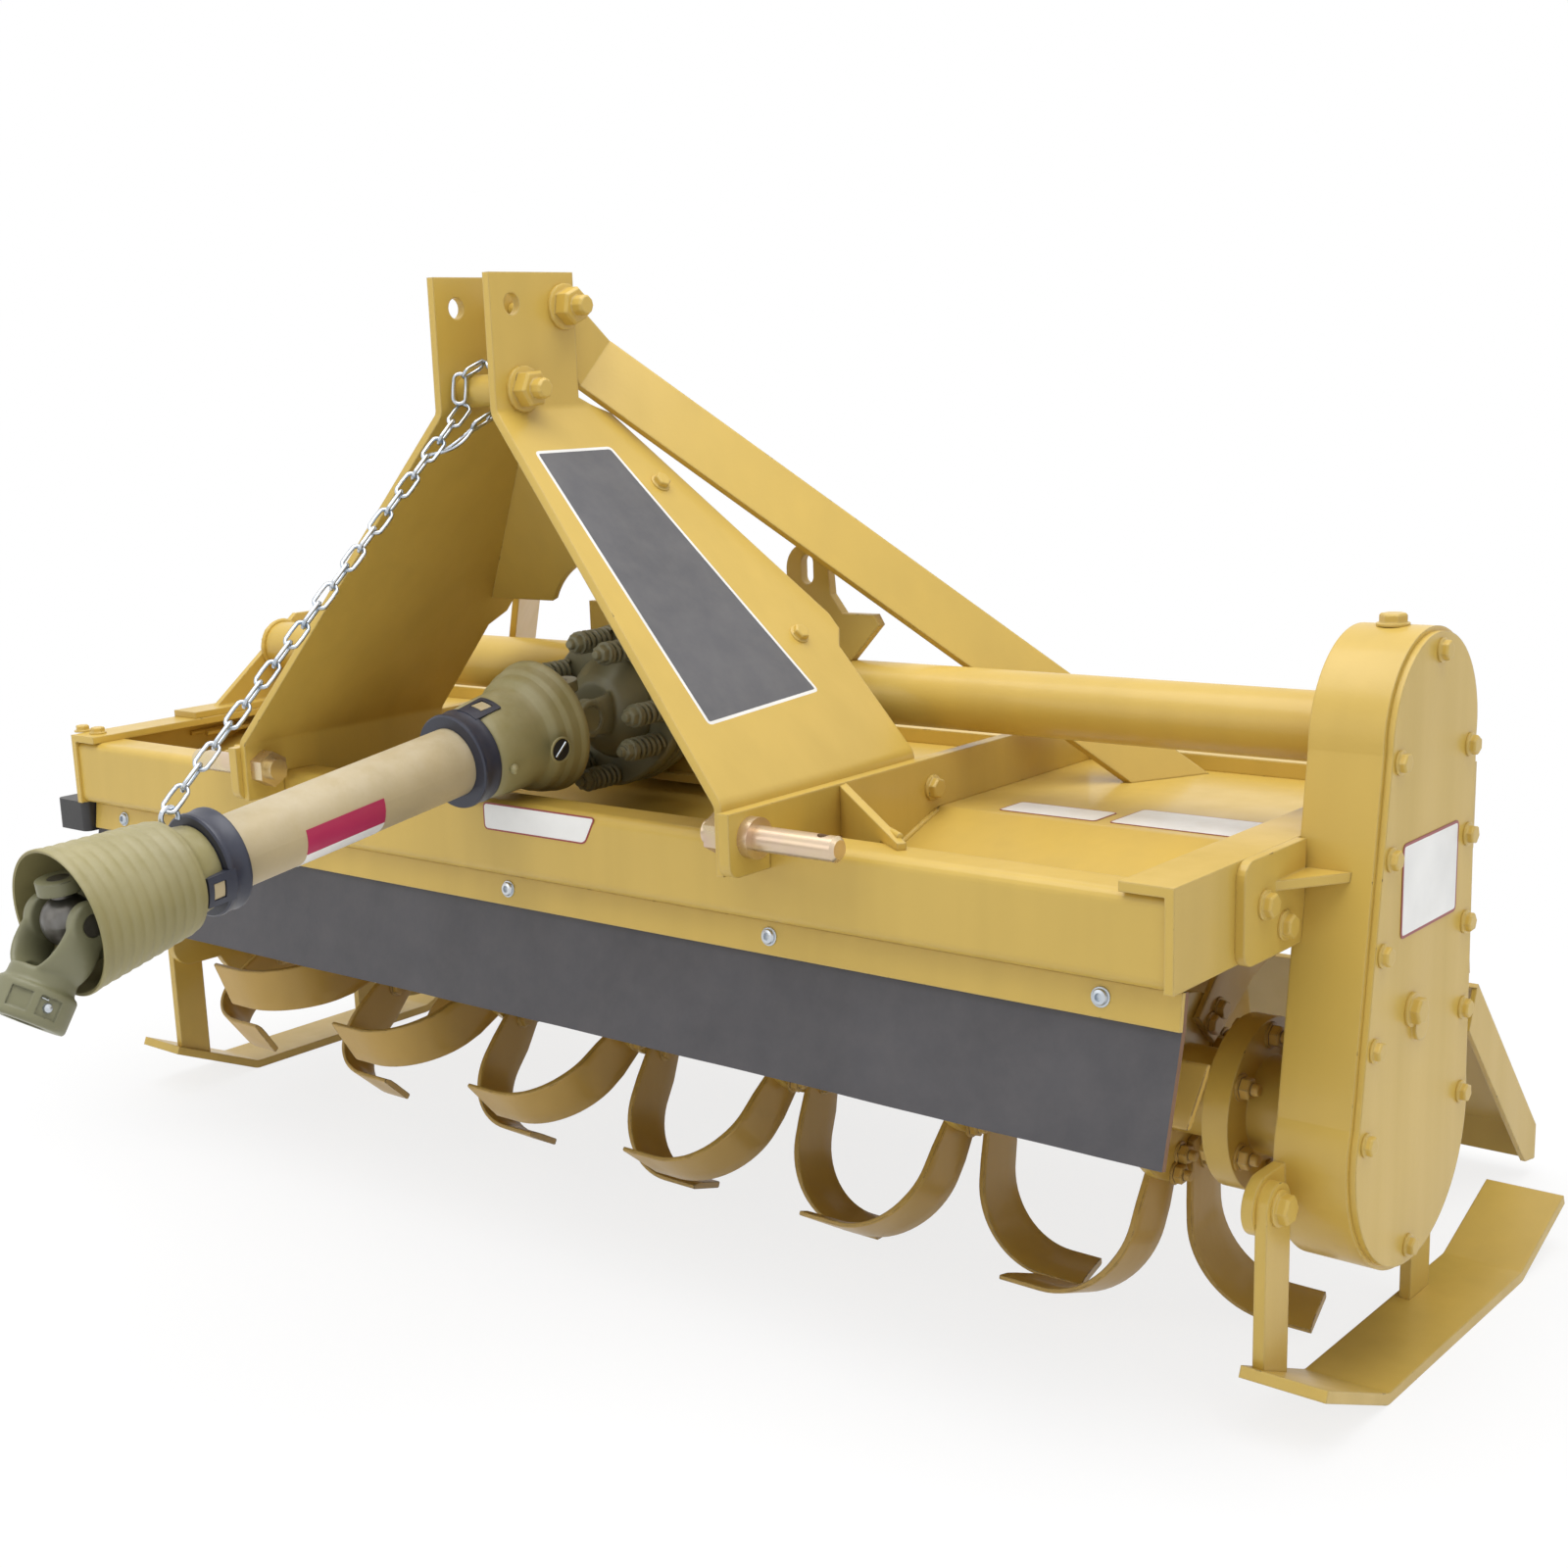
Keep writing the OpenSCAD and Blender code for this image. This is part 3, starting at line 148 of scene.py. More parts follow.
softbox("overhead", (0.3, -0.45, 3.6), (0, 0, 0.3), (4.0, 3.4), 126)
softbox("front_fill", (-1.6, -3.4, 1.7), (0, 0, 0.35), (2.2, 1.6), 10)
softbox("side_fill", (3.4, -0.6, 1.5), (0.4, 0, 0.35), (1.6, 1.6), 2.5, (1, 0.98, 0.95))

ground = bpy.data.materials.new("white_paper")
ground.use_nodes = True
tree = ground.node_tree
tree.nodes.clear()
coord = node(tree, "ShaderNodeTexCoord").outputs["Object"]
tone = ranged(tree, noise(tree, coord, 1.3, 2.0), 0, 1, 0.86, 0.89)
matt = node(tree, "ShaderNodeBsdfDiffuse", {"Color": tone})
lit = node(tree, "ShaderNodeEmission", {"Color": (1, 1, 1, 1), "Strength": 1.0})
reach = node(tree, "ShaderNodeVectorMath", {0: coord}, operation="LENGTH").outputs["Value"]
far = ranged(tree, reach, 0.8, 1.9, 0.80, 1.0, interpolation_type="SMOOTHSTEP")
lift = sums(tree, "MULTIPLY", sees_paper(tree), far)
blend = node(tree, "ShaderNodeMixShader", {0: lift, 1: matt.outputs[0], 2: lit.outputs[0]})
node(tree, "ShaderNodeOutputMaterial", {"Surface": blend.outputs[0]})
floor_half = 30
sheet = bpy.data.meshes.new("paper_floor")
corners = [(x * floor_half, y * floor_half, 0) for x, y in ((-1, -1), (1, -1), (1, 1), (-1, 1))]
sheet.from_pydata(corners, [], [(0, 1, 2, 3)])
sheet.materials.append(ground)
floor = bpy.data.objects.new("paper_floor", sheet)
scene.collection.objects.link(floor)

# Enamel: every plate, tube and casting was sprayed with ochre gloss after welding. The film
# has orange peel, faint runs and tone drift, thins on the edges, where a painted highlight makes it paler, and is
# nicked there.
skin_outputs = [("Colour", "Color"), ("Roughness", "Float"), ("Normal", "Vector")]


def group(name, inputs, outputs, kind="ShaderNodeTree"):
    """A node group with the given named sockets; returns it, its given values and its results."""
    made = bpy.data.node_groups.new(name, kind)
    for label, socket, *default in inputs:
        item = made.interface.new_socket(label, in_out="INPUT", socket_type="NodeSocket" + socket)
        if default:
            item.default_value = default[0]
    for label, socket in outputs:
        made.interface.new_socket(label, in_out="OUTPUT", socket_type="NodeSocket" + socket)
    return made, made.nodes.new("NodeGroupInput").outputs, made.nodes.new("NodeGroupOutput").inputs


def mixed(tree, share, first, second):
    """Two colours mixed by a share of the second."""
    return node(tree, "ShaderNodeMix", {0: share, 6: first, 7: second}, data_type="RGBA").outputs[2]


def enamel_film():
    film, given, out = group(
        "enamel_film",
        [("Colour", "Color", (0.6, 0.38, 0.07, 1)), ("Under", "Color", (0.07, 0.05, 0.03, 1)),
         ("Thin", "Color", (0.86, 0.68, 0.32, 1)), ("Chips", "Float", 0.3), ("Peel", "Float", 0.2),
         ("Grain", "Float", 210.0), ("Gloss", "Float", 0.3)], skin_outputs)
    coord = node(film, "ShaderNodeTexCoord").outputs["Object"]
    drift = noise(film, coord, 3.2, 3.0)
    hanging = node(film, "ShaderNodeMapping", {"Vector": coord, "Scale": (26, 26, 2.2)}).outputs[0]
    runs = noise(film, hanging, 1.0, 2.0)
    tone = ranged(film, drift, 0.3, 0.7, 0.93, 1.06)
    streak = ranged(film, runs, 0.35, 0.75, 1.02, 0.95)
    shade = node(film, "ShaderNodeHueSaturation", {"Value": sums(film, "MULTIPLY", tone, streak),
                                                   "Color": given["Colour"]}).outputs[0]
    round_edge = node(film, "ShaderNodeBevel", {"Radius": 0.0026}, samples=4).outputs[0]
    flat = node(film, "ShaderNodeNewGeometry").outputs["Normal"]
    turn = node(film, "ShaderNodeVectorMath", {0: round_edge, 1: flat}, operation="DOT_PRODUCT")
    edge = ranged(film, turn.outputs["Value"], 0.985, 0.80)
    nick = noise(film, coord, 62.0, 5.0, 0.62)
    limit = sums(film, "SUBTRACT", 0.86, sums(film, "MULTIPLY", edge, given["Chips"]))
    chip = ranged(film, sums(film, "SUBTRACT", nick, limit), 0.0, 0.03)
    # Edges are mixed towards the paler edge colour: a painted highlight, where the film is also thin.
    pale = mixed(film, sums(film, "MULTIPLY", edge, 0.28), shade, given["Thin"])
    film.links.new(mixed(film, chip, pale, given["Under"]), out["Colour"])
    dull = ranged(film, runs, 0.3, 0.7, -0.03, 0.06)
    rough = sums(film, "ADD", given["Gloss"], dull)
    film.links.new(sums(film, "MULTIPLY_ADD", chip, 0.3, rough), out["Roughness"])
    low = sums(film, "MULTIPLY_ADD", chip, -0.8, noise(film, coord, given["Grain"], 1.0))
    bump = node(film, "ShaderNodeBump", {"Strength": given["Peel"], "Distance": 0.0006, "Height": low,
                                         "Normal": round_edge})
    film.links.new(bump.outputs[0], out["Normal"])
    return film


film = enamel_film()


def finish(name, shader_group, inputs, metallic=0.0, coat=0.0, coat_roughness=0.1, specular=0.5):
    """A material: one Principled shader fed by a group's colour, roughness and normal."""
    made = bpy.data.materials.new(name)
    made.use_nodes = True
    tree = made.node_tree
    tree.nodes.clear()
    source = node(tree, "ShaderNodeGroup", inputs, node_tree=shader_group)
    surface = node(tree, "ShaderNodeBsdfPrincipled", {
        "Base Color": source.outputs["Colour"], "Roughness": source.outputs["Roughness"],
        "Normal": source.outputs["Normal"], "Metallic": metallic, "Coat Weight": coat,
        "Coat Roughness": coat_roughness, "Specular IOR Level": specular})
    node(tree, "ShaderNodeOutputMaterial", {"Surface": surface.outputs[0]})
    return made


enamel = finish("ochre_enamel", film, {
    "Colour": (0.565, 0.382, 0.074, 1), "Chips": 0.22, "Peel": 0.16, "Gloss": 0.40
    }, coat=0.2, coat_roughness=0.15, specular=0.45)


def wear(material, *names):
    for name in names:
        for slot in frame["nodes"][name].material_slots:
            slot.material = material


wear(enamel, "front_beam", "end_rail_left", "end_rail_right", "rear_rail", "hood", "hood_back", "flap_clamp",
     "hitch_rail_left", "hitch_rail_right", "rail_gussets", "mast_left", "mast_right", "mast_web",
     "mast_spacer", "brace_left", "brace_right", "brace_bolt", "gearbox_saddle", "cross_tube",
     "lift_plate", "tube_bracket", "side_plate", "rotor_bearing", "gear_case", "case_cover",
     "case_bracket", "skid_left", "skid_right", "skid_straps_left", "skid_straps_right",
     "tail_hinges", "tailboard", "gearbox", "rotor_shaft")

# Weld beads: the rails, gussets, braces and tube ends were welded by hand with a wire gun,
# in short runs along the joints, and painted over.
tube_y, tube_z = 300, 552
rail_out, rail_in, rail_foot, gusset_top, deck_seam, lift_foot = 342.5, 320.5, 435.5, 482, 458.5, 581


def dressed(tree, geometry, material, target):
    """Makes a tree's instances real, gives them a material and hands them to its result."""
    real = node(tree, "GeometryNodeRealizeInstances", {"Geometry": geometry})
    worn = node(tree, "GeometryNodeSetMaterial", {"Geometry": real.outputs[0], "Material": material})
    tree.links.new(worn.outputs[0], target)


def bead_tree():
    tree, given, out = group(
        "laid_bead", [("Path", "Geometry"), ("Radius", "Float", 0.003), ("Ripple", "Float", 0.3),
                      ("Step", "Float", 0.0024), ("Pitch", "Float", 420.0), ("Finish", "Material")],
        [("Bead", "Geometry")], "GeometryNodeTree")
    line = node(tree, "GeometryNodeMeshToCurve", {"Mesh": given["Path"]})
    even = node(tree, "GeometryNodeResampleCurve", {"Curve": line.outputs[0], "Length": given["Step"]},
                mode="LENGTH")
    lumps = node(tree, "ShaderNodeTexNoise", {"Scale": given["Pitch"], "Detail": 1.0}).outputs[0]
    ripple = sums(tree, "MULTIPLY_ADD", sums(tree, "SUBTRACT", lumps, 0.5), given["Ripple"], 1.0)
    ring = node(tree, "GeometryNodeCurvePrimitiveCircle", {"Resolution": 8, "Radius": 1.0})
    tube = node(tree, "GeometryNodeCurveToMesh", {
        "Curve": even.outputs[0], "Profile Curve": ring.outputs[0],
        "Scale": sums(tree, "MULTIPLY", ripple, given["Radius"]), "Fill Caps": True})
    soft = node(tree, "GeometryNodeSetShadeSmooth", {"Geometry": tube.outputs[0]})
    dressed(tree, soft.outputs[0], given["Finish"], out["Bead"])
    return tree


def modified(host):
    """The mesh that an object's modifiers make; the object itself goes."""
    graph = bpy.context.evaluated_depsgraph_get()
    mesh = bpy.data.meshes.new_from_object(host.evaluated_get(graph), depsgraph=graph)
    bpy.data.objects.remove(host)
    return mesh


def hang(name, mesh, body):
    """Puts a mesh in the scene as a piece on a body."""
    mesh.name = name
    piece = bpy.data.objects.new(name, mesh)
    scene.collection.objects.link(piece)
    if body:
        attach(piece, body)
    return piece


def grow(name, seed, tree, values, body):
    """Runs a tree on a seed mesh and keeps its result as one plain mesh on a body."""
    host = bpy.data.objects.new(name + "_seed", seed)
    scene.collection.objects.link(host)
    modifier = host.modifiers.new("grow", "NODES")
    modifier.node_group = tree
    for socket in tree.interface.items_tree:
        if socket.in_out == "INPUT" and socket.name in values:
            modifier[socket.identifier] = values[socket.name]
    return hang(name, modified(host), body)


def path_mesh(name, paths):
    """Edges through each path's points, for a tree to follow."""
    points, edges = [], []
    for run in paths:
        first = len(points)
        points += [tuple(p) for p in run]
        edges += [(i, i + 1) for i in range(first, len(points) - 1)]
    mesh = bpy.data.meshes.new(name + "_path")
    mesh.from_pydata(points, edges, [])
    return mesh


def tube_ring(x, radius):
    """Points round the cross tube, every ten degrees."""
    angles = [math.radians(10 * i) for i in range(37)]
    return [at(x, tube_y + radius * math.cos(a), tube_z + radius * math.sin(a)) for a in angles]


runs = []
for side in (-1, 1):
    for start, stop in ((48, 86), (104, 146), (160, 182)):
        runs.append([at(side * rail_out, y, rail_foot) for y in (start, stop)])
        runs.append([at(side * rail_in, y, rail_foot) for y in (start + 10, stop)])
    runs.append([at(side * rail_out, 190, 434.6), at(side * rail_out, 246, 454)])
    runs.append([at(side * x, y, gusset_top) for x, y in ((348, 104), (400, 70), (452, 35))])
    runs.append([at(side * 713, y, deck_seam) for y in (160, 540)])
runs += [tube_ring(x, radius) for x, radius in ((700, 31.5), (103.5, 31), (-103.5, 31), (-695, 31))]
runs += [[at(x, y, lift_foot) for x in (136, 208)] for y in (294, 306)]
runs.append([at(-694, y, deck_seam) for y in (170, 400)])
runs += [[at(x, 563, 450.8), at(x + 90, 563, 450.8)] for x in range(-690, 600, 172)]
grow("frame_welds", path_mesh("frame_welds", runs), bead_tree(),
     {"Radius": 0.0032, "Ripple": 0.55, "Finish": enamel}, "frame")

# Bolts and screws: hex cap screws, nuts with their thread ends and socket buttons, all on
# flat washers. Most were painted with the machine; the clamp strip's are bright zinc.
rotor_y, rotor_z = 282, 219
cover_x, cover_upper_r, cover_lower_r = 790.5, 69, 97
unscaled = Matrix.Scale(1000, 4)
point_values = (("aim", "FLOAT_VECTOR"), ("size", "FLOAT"), ("spin", "FLOAT"))


def plated_skin():
    skin, given, out = group(
        "plated_skin",
        [("Colour", "Color", (0.6, 0.6, 0.6, 1)), ("Tint", "Color", (0.5, 0.5, 0.55, 1)),
         ("Cloud", "Float", 55.0), ("Grain", "Float", 160.0), ("Depth", "Float", 0.12),
         ("Gloss", "Float", 0.3)], skin_outputs)
    coord = node(skin, "ShaderNodeTexCoord").outputs["Object"]
    cloud = noise(skin, coord, given["Cloud"], 2.0)
    part = ranged(skin, cloud, 0.34, 0.70)
    skin.links.new(mixed(skin, part, given["Colour"], given["Tint"]), out["Colour"])
    haze = ranged(skin, cloud, 0.3, 0.7, -0.03, 0.06)
    skin.links.new(sums(skin, "ADD", given["Gloss"], haze), out["Roughness"])
    bump = node(skin, "ShaderNodeBump", {"Strength": given["Depth"], "Distance": 0.0004,
                                         "Height": noise(skin, coord, given["Grain"], 2.0)})
    skin.links.new(bump.outputs[0], out["Normal"])
    return skin


plated = plated_skin()
bright_zinc = finish("bright_zinc", plated, {
    "Colour": (0.62, 0.64, 0.66, 1), "Tint": (0.50, 0.55, 0.60, 1), "Gloss": 0.27}, metallic=0.9)


def circle(sides):
    return [(math.cos(2 * math.pi * i / sides), math.sin(2 * math.pi * i / sides)) for i in range(sides)]


def put(shape, place, x, y, z):
    """A vertex at millimetres in a place's own frame."""
    return shape.verts.new(place @ (Vector((x, y, z)) / 1000))


def stitch(shape, rings, loop=False):
    """Joins rings of vertices, then closes both ends, or the last ring to the first."""
    for low, high in zip(rings, rings[1:] + rings[:1] if loop else rings[1:]):
        for i in range(len(low)):
            after = (i + 1) % len(low)
            shape.faces.new((low[i], low[after], high[after], high[i]))
    if not loop:
        shape.faces.new(list(reversed(rings[0])))
        shape.faces.new(rings[-1])


def lathe(shape, profile, place, sides=72, loop=False):
    """Turns (radius, along) points in millimetres about the place's Z axis."""
    stitch(shape, [[put(shape, place, radius * c, radius * s, along) for c, s in circle(sides)]
                   for radius, along in profile], loop)


def mesh_of(name, shape, sharp=180):
    """Points a shape's faces outwards and makes it a mesh, smooth up to the sharp angle."""
    bmesh.ops.recalc_face_normals(shape, faces=shape.faces)
    mesh = bpy.data.meshes.new(name)
    shape.to_mesh(mesh)
    shape.free()
    mesh.shade_smooth()
    mesh.set_sharp_from_angle(angle=math.radians(sharp))
    return mesh


def fastener(name, parts):
    """One pattern piece, sized to a thread of 1, for a tree to repeat."""
    shape = bmesh.new()
    for sides, levels in parts:
        lathe(shape, levels, unscaled, sides)
    return bpy.data.objects.new(name, mesh_of(name, shape, 28))


washer = (16, [(1.12, -0.05), (1.12, 0.14), (1.04, 0.18)])
cap_screw = fastener("cap_screw", [washer, (6, [(0.92, 0.16), (0.92, 0.66), (0.80, 0.80)])])
stud_nut = fastener("stud_nut", [washer, (6, [(0.82, 0.16), (0.92, 0.24), (0.92, 0.86), (0.80, 0.98)]),
                                 (10, [(0.5, 0.9), (0.5, 1.5), (0.4, 1.62)])])
button = fastener("button", [
    (18, [(0.98, -0.05), (0.98, 0.10), (0.92, 0.14)]),
    (18, [(0.80, 0.1), (0.80, 0.26), (0.70, 0.42), (0.46, 0.5), (0.38, 0.5), (0.34, 0.2)])])


def setting_tree():
    tree, given, out = group(
        "set_on_points", [("Places", "Geometry"), ("Pattern", "Object"), ("Finish", "Material")],
        [("Set", "Geometry")], "GeometryNodeTree")
    points = node(tree, "GeometryNodeMeshToPoints", {"Mesh": given["Places"]})
    aim, size, spin = (node(tree, "GeometryNodeInputNamedAttribute", {"Name": label}, data_type=kind)
                       .outputs["Attribute"] for label, kind in point_values)
    lean = node(tree, "FunctionNodeAlignRotationToVector", {"Vector": aim}, axis="Z")
    twist = node(tree, "FunctionNodeAxisAngleToRotation", {"Axis": (0, 0, 1), "Angle": spin})
    turn = node(tree, "FunctionNodeRotateRotation", {
        "Rotation": lean.outputs[0], "Rotate By": twist.outputs[0]}, rotation_space="LOCAL")
    pattern = node(tree, "GeometryNodeObjectInfo", {"Object": given["Pattern"]})
    many = node(tree, "GeometryNodeInstanceOnPoints", {
        "Points": points.outputs[0], "Instance": pattern.outputs["Geometry"], "Rotation": turn.outputs[0],
        "Scale": size})
    dressed(tree, many.outputs[0], given["Finish"], out["Set"])
    return tree


set_on_points = setting_tree()


def set_out(name, pattern, places, material, body):
    """Repeats a pattern at (point, direction, size in mm, spin in degrees)."""
    mesh = bpy.data.meshes.new(name + "_places")
    mesh.from_pydata([tuple(place[0]) for place in places], [], [])
    for label, kind in point_values:
        mesh.attributes.new(label, kind, "POINT")
    for i, (point, aim, size, spin) in enumerate(places):
        mesh.attributes["aim"].data[i].vector = Vector(aim).normalized()
        mesh.attributes["size"].data[i].value = size / 1000
        mesh.attributes["spin"].data[i].value = math.radians(spin)
    return grow(name, mesh, set_on_points, {"Pattern": pattern, "Finish": material}, body)


def even_spins(places):
    return [(point, aim, size, 17 * i % 60) for i, (point, aim, size) in enumerate(places)]


def mast_x(z):
    """How far out the mast's sloping face is at a height."""
    return 41 + (837 - z) * 288.5 / 327


heads, ends = [], []
upper, lower = Vector((tube_y, tube_z)), Vector((rotor_y, rotor_z))
line = lower - upper
swing = math.asin((cover_lower_r - cover_upper_r) / line.length)
along = math.atan2(line.y, line.x)
rim = []
for side in (1, -1):
    normal = along + side * (math.pi / 2 + swing)
    way = Vector((math.cos(normal), math.sin(normal)))
    start, stop = upper + cover_upper_r * way, lower + cover_lower_r * way
    rim += [start.lerp(stop, t) for t in (0.06, 0.29, 0.52, 0.75, 0.98)]
rim.append(upper - cover_upper_r * line.normalized())
rim.append(lower + cover_lower_r * line.normalized())
heads += [(at(cover_x, p.x, p.y), (1, 0, 0), 9) for p in rim]
heads += [(at(cover_x, 268, 331), (1, 0, 0), 13), (at(730.5, 126, 442), (1, 0, 0), 11),
          (at(730.5, 160, 418), (1, 0, 0), 11), (at(752, 298, 640), (0, 0, 1), 12)]
for side in (-1, 1):
    heads.append((at(side * 342, 241, 477), (side, 0, 0), 11))
    ends.append((at(side * 321, 241, 477), (-side, 0, 0), 11))
    heads += [(at(side * 742.3, y, 191), (side, 0, 0), 14) for y in (136, 428)]
    heads += [(at(side * (mast_x(z) + 0.6), y, z + 0.5), (side * 0.75, 0, 0.66), 9)
              for y, z in ((142, 764), (186, 621))]
    for a in (math.radians(60 * i + 30) for i in range(6)):
        spot = at(side * 103.3, tube_y + 54 * math.cos(a), tube_z + 54 * math.sin(a))
        heads.append((spot, (side, 0, 0), 9))
    heads += [(at(side * 92, y, 474), (0, 0, 1), 11) for y in (252, 348)]
heads += [(at(-746.3, rotor_y + 42 * c, rotor_z + 42 * s), (-1, 0, 0), 8) for c, s in circle(6)]
heads += [(at(x, 20, 481.3), (0, 0, 1), 9) for x in (-732, -700)]
for y, z in ((32, 857), (91, 930)):
    ends.append((at(41.2, y, z), (1, 0, 0), 19))
    heads.append((at(-41.2, y, z), (-1, 0, 0), 19))
set_out("painted_screws", cap_screw, even_spins(heads), enamel, "frame")
set_out("painted_nuts", stud_nut, even_spins(ends), enamel, "frame")
lean, clamp_drop, clamp_out = math.radians(8), 47, 12.3
strip_y = 32 - clamp_drop * math.sin(lean) - clamp_out * math.cos(lean)
strip_z = 428 - clamp_drop * math.cos(lean) + clamp_out * math.sin(lean)
clamps = [(at(x, strip_y, strip_z), (0, -math.cos(lean), math.sin(lean)), 8.5)
          for x in (-652, -326, 0, 326, 652)]
set_out("clamp_screws", button, even_spins(clamps), bright_zinc, "frame")

# Rubber flap: a strip of cut conveyor belt held by the clamp strip. It kicks forward below
# the strip and its free edge wanders a little; the cut edge shows the brown carcass.
flap_left, flap_wide, flap_half_t, flap_bend = -711.5, 1431, 2.9, 0.22
flap_line = [Vector((22.4, 395.7)), Vector((18.2, 366.0)), Vector((-9.2, 263.7))]
columns, rows = 96, 12


def moulded_skin():
    skin, given, out = group(
        "moulded_skin",
        [("Colour", "Color", (0.1, 0.1, 0.1, 1)), ("Dust", "Color", (0.3, 0.28, 0.24, 1)),
         ("Dusting", "Float", 0.3), ("Grain", "Float", 260.0), ("Depth", "Float", 0.2),
         ("Gloss", "Float", 0.5)], skin_outputs)
    coord = node(skin, "ShaderNodeTexCoord").outputs["Object"]
    tone = ranged(skin, noise(skin, coord, 11.0, 4.0), 0.3, 0.7, 0.88, 1.1)
    shade = node(skin, "ShaderNodeHueSaturation", {"Value": tone, "Color": given["Colour"]}).outputs[0]
    facing = node(skin, "ShaderNodeNewGeometry").outputs["Normal"]
    lies = ranged(skin, node(skin, "ShaderNodeSeparateXYZ", {0: facing}).outputs[2], -0.1, 0.9)
    settled = ranged(skin, noise(skin, coord, 34.0, 5.0, 0.65), 0.35, 0.72)
    amount = sums(skin, "MULTIPLY", sums(skin, "MULTIPLY", lies, settled), given["Dusting"])
    skin.links.new(mixed(skin, amount, shade, given["Dust"]), out["Colour"])
    skin.links.new(sums(skin, "MULTIPLY_ADD", amount, 0.35, given["Gloss"]), out["Roughness"])
    bump = node(skin, "ShaderNodeBump", {"Strength": given["Depth"], "Distance": 0.0005,
                                         "Height": noise(skin, coord, given["Grain"], 2.0)})
    skin.links.new(bump.outputs[0], out["Normal"])
    return skin


moulded = moulded_skin()
belt_rubber = finish("belt_rubber", moulded, {
    "Colour": (0.059, 0.056, 0.061, 1), "Dust": (0.20, 0.18, 0.17, 1), "Depth": 0.3, "Gloss": 0.55})
belt_carcass = finish("belt_carcass", moulded, {
    "Colour": (0.20, 0.105, 0.055, 1), "Dust": (0.3, 0.2, 0.12, 1), "Depth": 0.6, "Gloss": 0.75})


def settle(name, shape, material, body, sharp=32):
    """Closes a shape, shades it and hangs it on a body."""
    bmesh.ops.remove_doubles(shape, verts=shape.verts, dist=1e-5)
    mesh = mesh_of(name, shape, sharp)
    for layer in material if isinstance(material, list) else [material]:
        mesh.materials.append(layer)
    return hang(name, mesh, body)


def plate(shape, front, back, last_rim=0):
    """Two grids of vertices as a closed plate, its last row and ends in the rim's material."""
    long, wide = len(front) - 1, len(front[0]) - 1
    for grid in (front, back):
        for a, b in zip(grid, grid[1:]):
            for k in range(wide):
                shape.faces.new((a[k], b[k], b[k + 1], a[k + 1]))
    for k, tone in ((0, 0), (wide, last_rim)):
        for i in range(long):
            shape.faces.new((front[i][k], front[i + 1][k], back[i + 1][k], back[i][k])).material_index = tone
    for a, b in ((front[0], back[0]), (front[long], back[long])):
        for k in range(wide):
            shape.faces.new((a[k], a[k + 1], b[k + 1], b[k])).material_index = last_rim


shape = bmesh.new()
skins = []
for face in (1, -1):
    grid = []
    for i in range(columns + 1):
        x = flap_left + flap_wide * i / columns
        column = []
        for j in range(rows + 1):
            s = j / rows
            if s < flap_bend:
                spot, out_y = flap_line[0].lerp(flap_line[1], s / flap_bend), Vector((-0.99, 0.14))
            else:
                spot = flap_line[1].lerp(flap_line[2], (s - flap_bend) / (1 - flap_bend))
                out_y = Vector((-0.966, 0.26))
            free = max(0, s - 0.3) ** 1.4
            wave = free * (2.6 * math.sin(x / 96 + 0.6) + 1.9 * math.sin(x / 41 + 2.1) + math.sin(x / 17))
            drop = free * 1.4 * math.sin(x / 150 + 1.0) if j == rows else 0
            spot = spot + out_y * (wave + face * flap_half_t) + Vector((0, drop))
            column.append(shape.verts.new(at(x, spot.x, spot.y)))
        grid.append(column)
    skins.append(grid)
plate(shape, *skins, last_rim=1)
flap = settle("rubber_flap", shape, [belt_rubber, belt_carcass], "frame")
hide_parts("front_flap")

# Buffer block: a moulded rubber stop bolted under the left end of the beam, black and a
# little shinier than the flap.
stop_rubber = finish("stop_rubber", moulded, {
    "Colour": (0.022, 0.021, 0.022, 1), "Gloss": 0.42, "Depth": 0.25})
wear(stop_rubber, "end_block")

# Lower hitch pins: turned steel, yellow-passivated zinc with a violet cast, held by a nut
# behind the rail.
passivate = finish("yellow_passivate", plated, {
    "Colour": (0.70, 0.58, 0.34, 1), "Tint": (0.62, 0.46, 0.38, 1), "Cloud": 20.0, "Depth": 0.03,
    "Gloss": 0.27}, metallic=0.85)
wear(passivate, "lower_pin_left", "lower_pin_right")

# Panel and labels: blank self-adhesive film, a dark panel with a pale edge on the mast's right
# face, and plain white strips with a red edge on the beam, deck and case.
film_white = finish("white_film", moulded, {
    "Colour": (0.78, 0.77, 0.74, 1), "Dust": (0.6, 0.55, 0.45, 1), "Grain": 90.0, "Depth": 0.05,
    "Gloss": 0.32})
film_edge = finish("red_film_edge", moulded, {
    "Colour": (0.26, 0.035, 0.035, 1), "Depth": 0.05, "Gloss": 0.32})
film_dark = finish("charcoal_film", moulded, {
    "Colour": (0.088, 0.086, 0.092, 1), "Dust": (0.2, 0.19, 0.18, 1), "Grain": 90.0, "Depth": 0.05,
    "Gloss": 0.3})
film_top, film_t, film_corner = 0.45, 0.5, 0.005


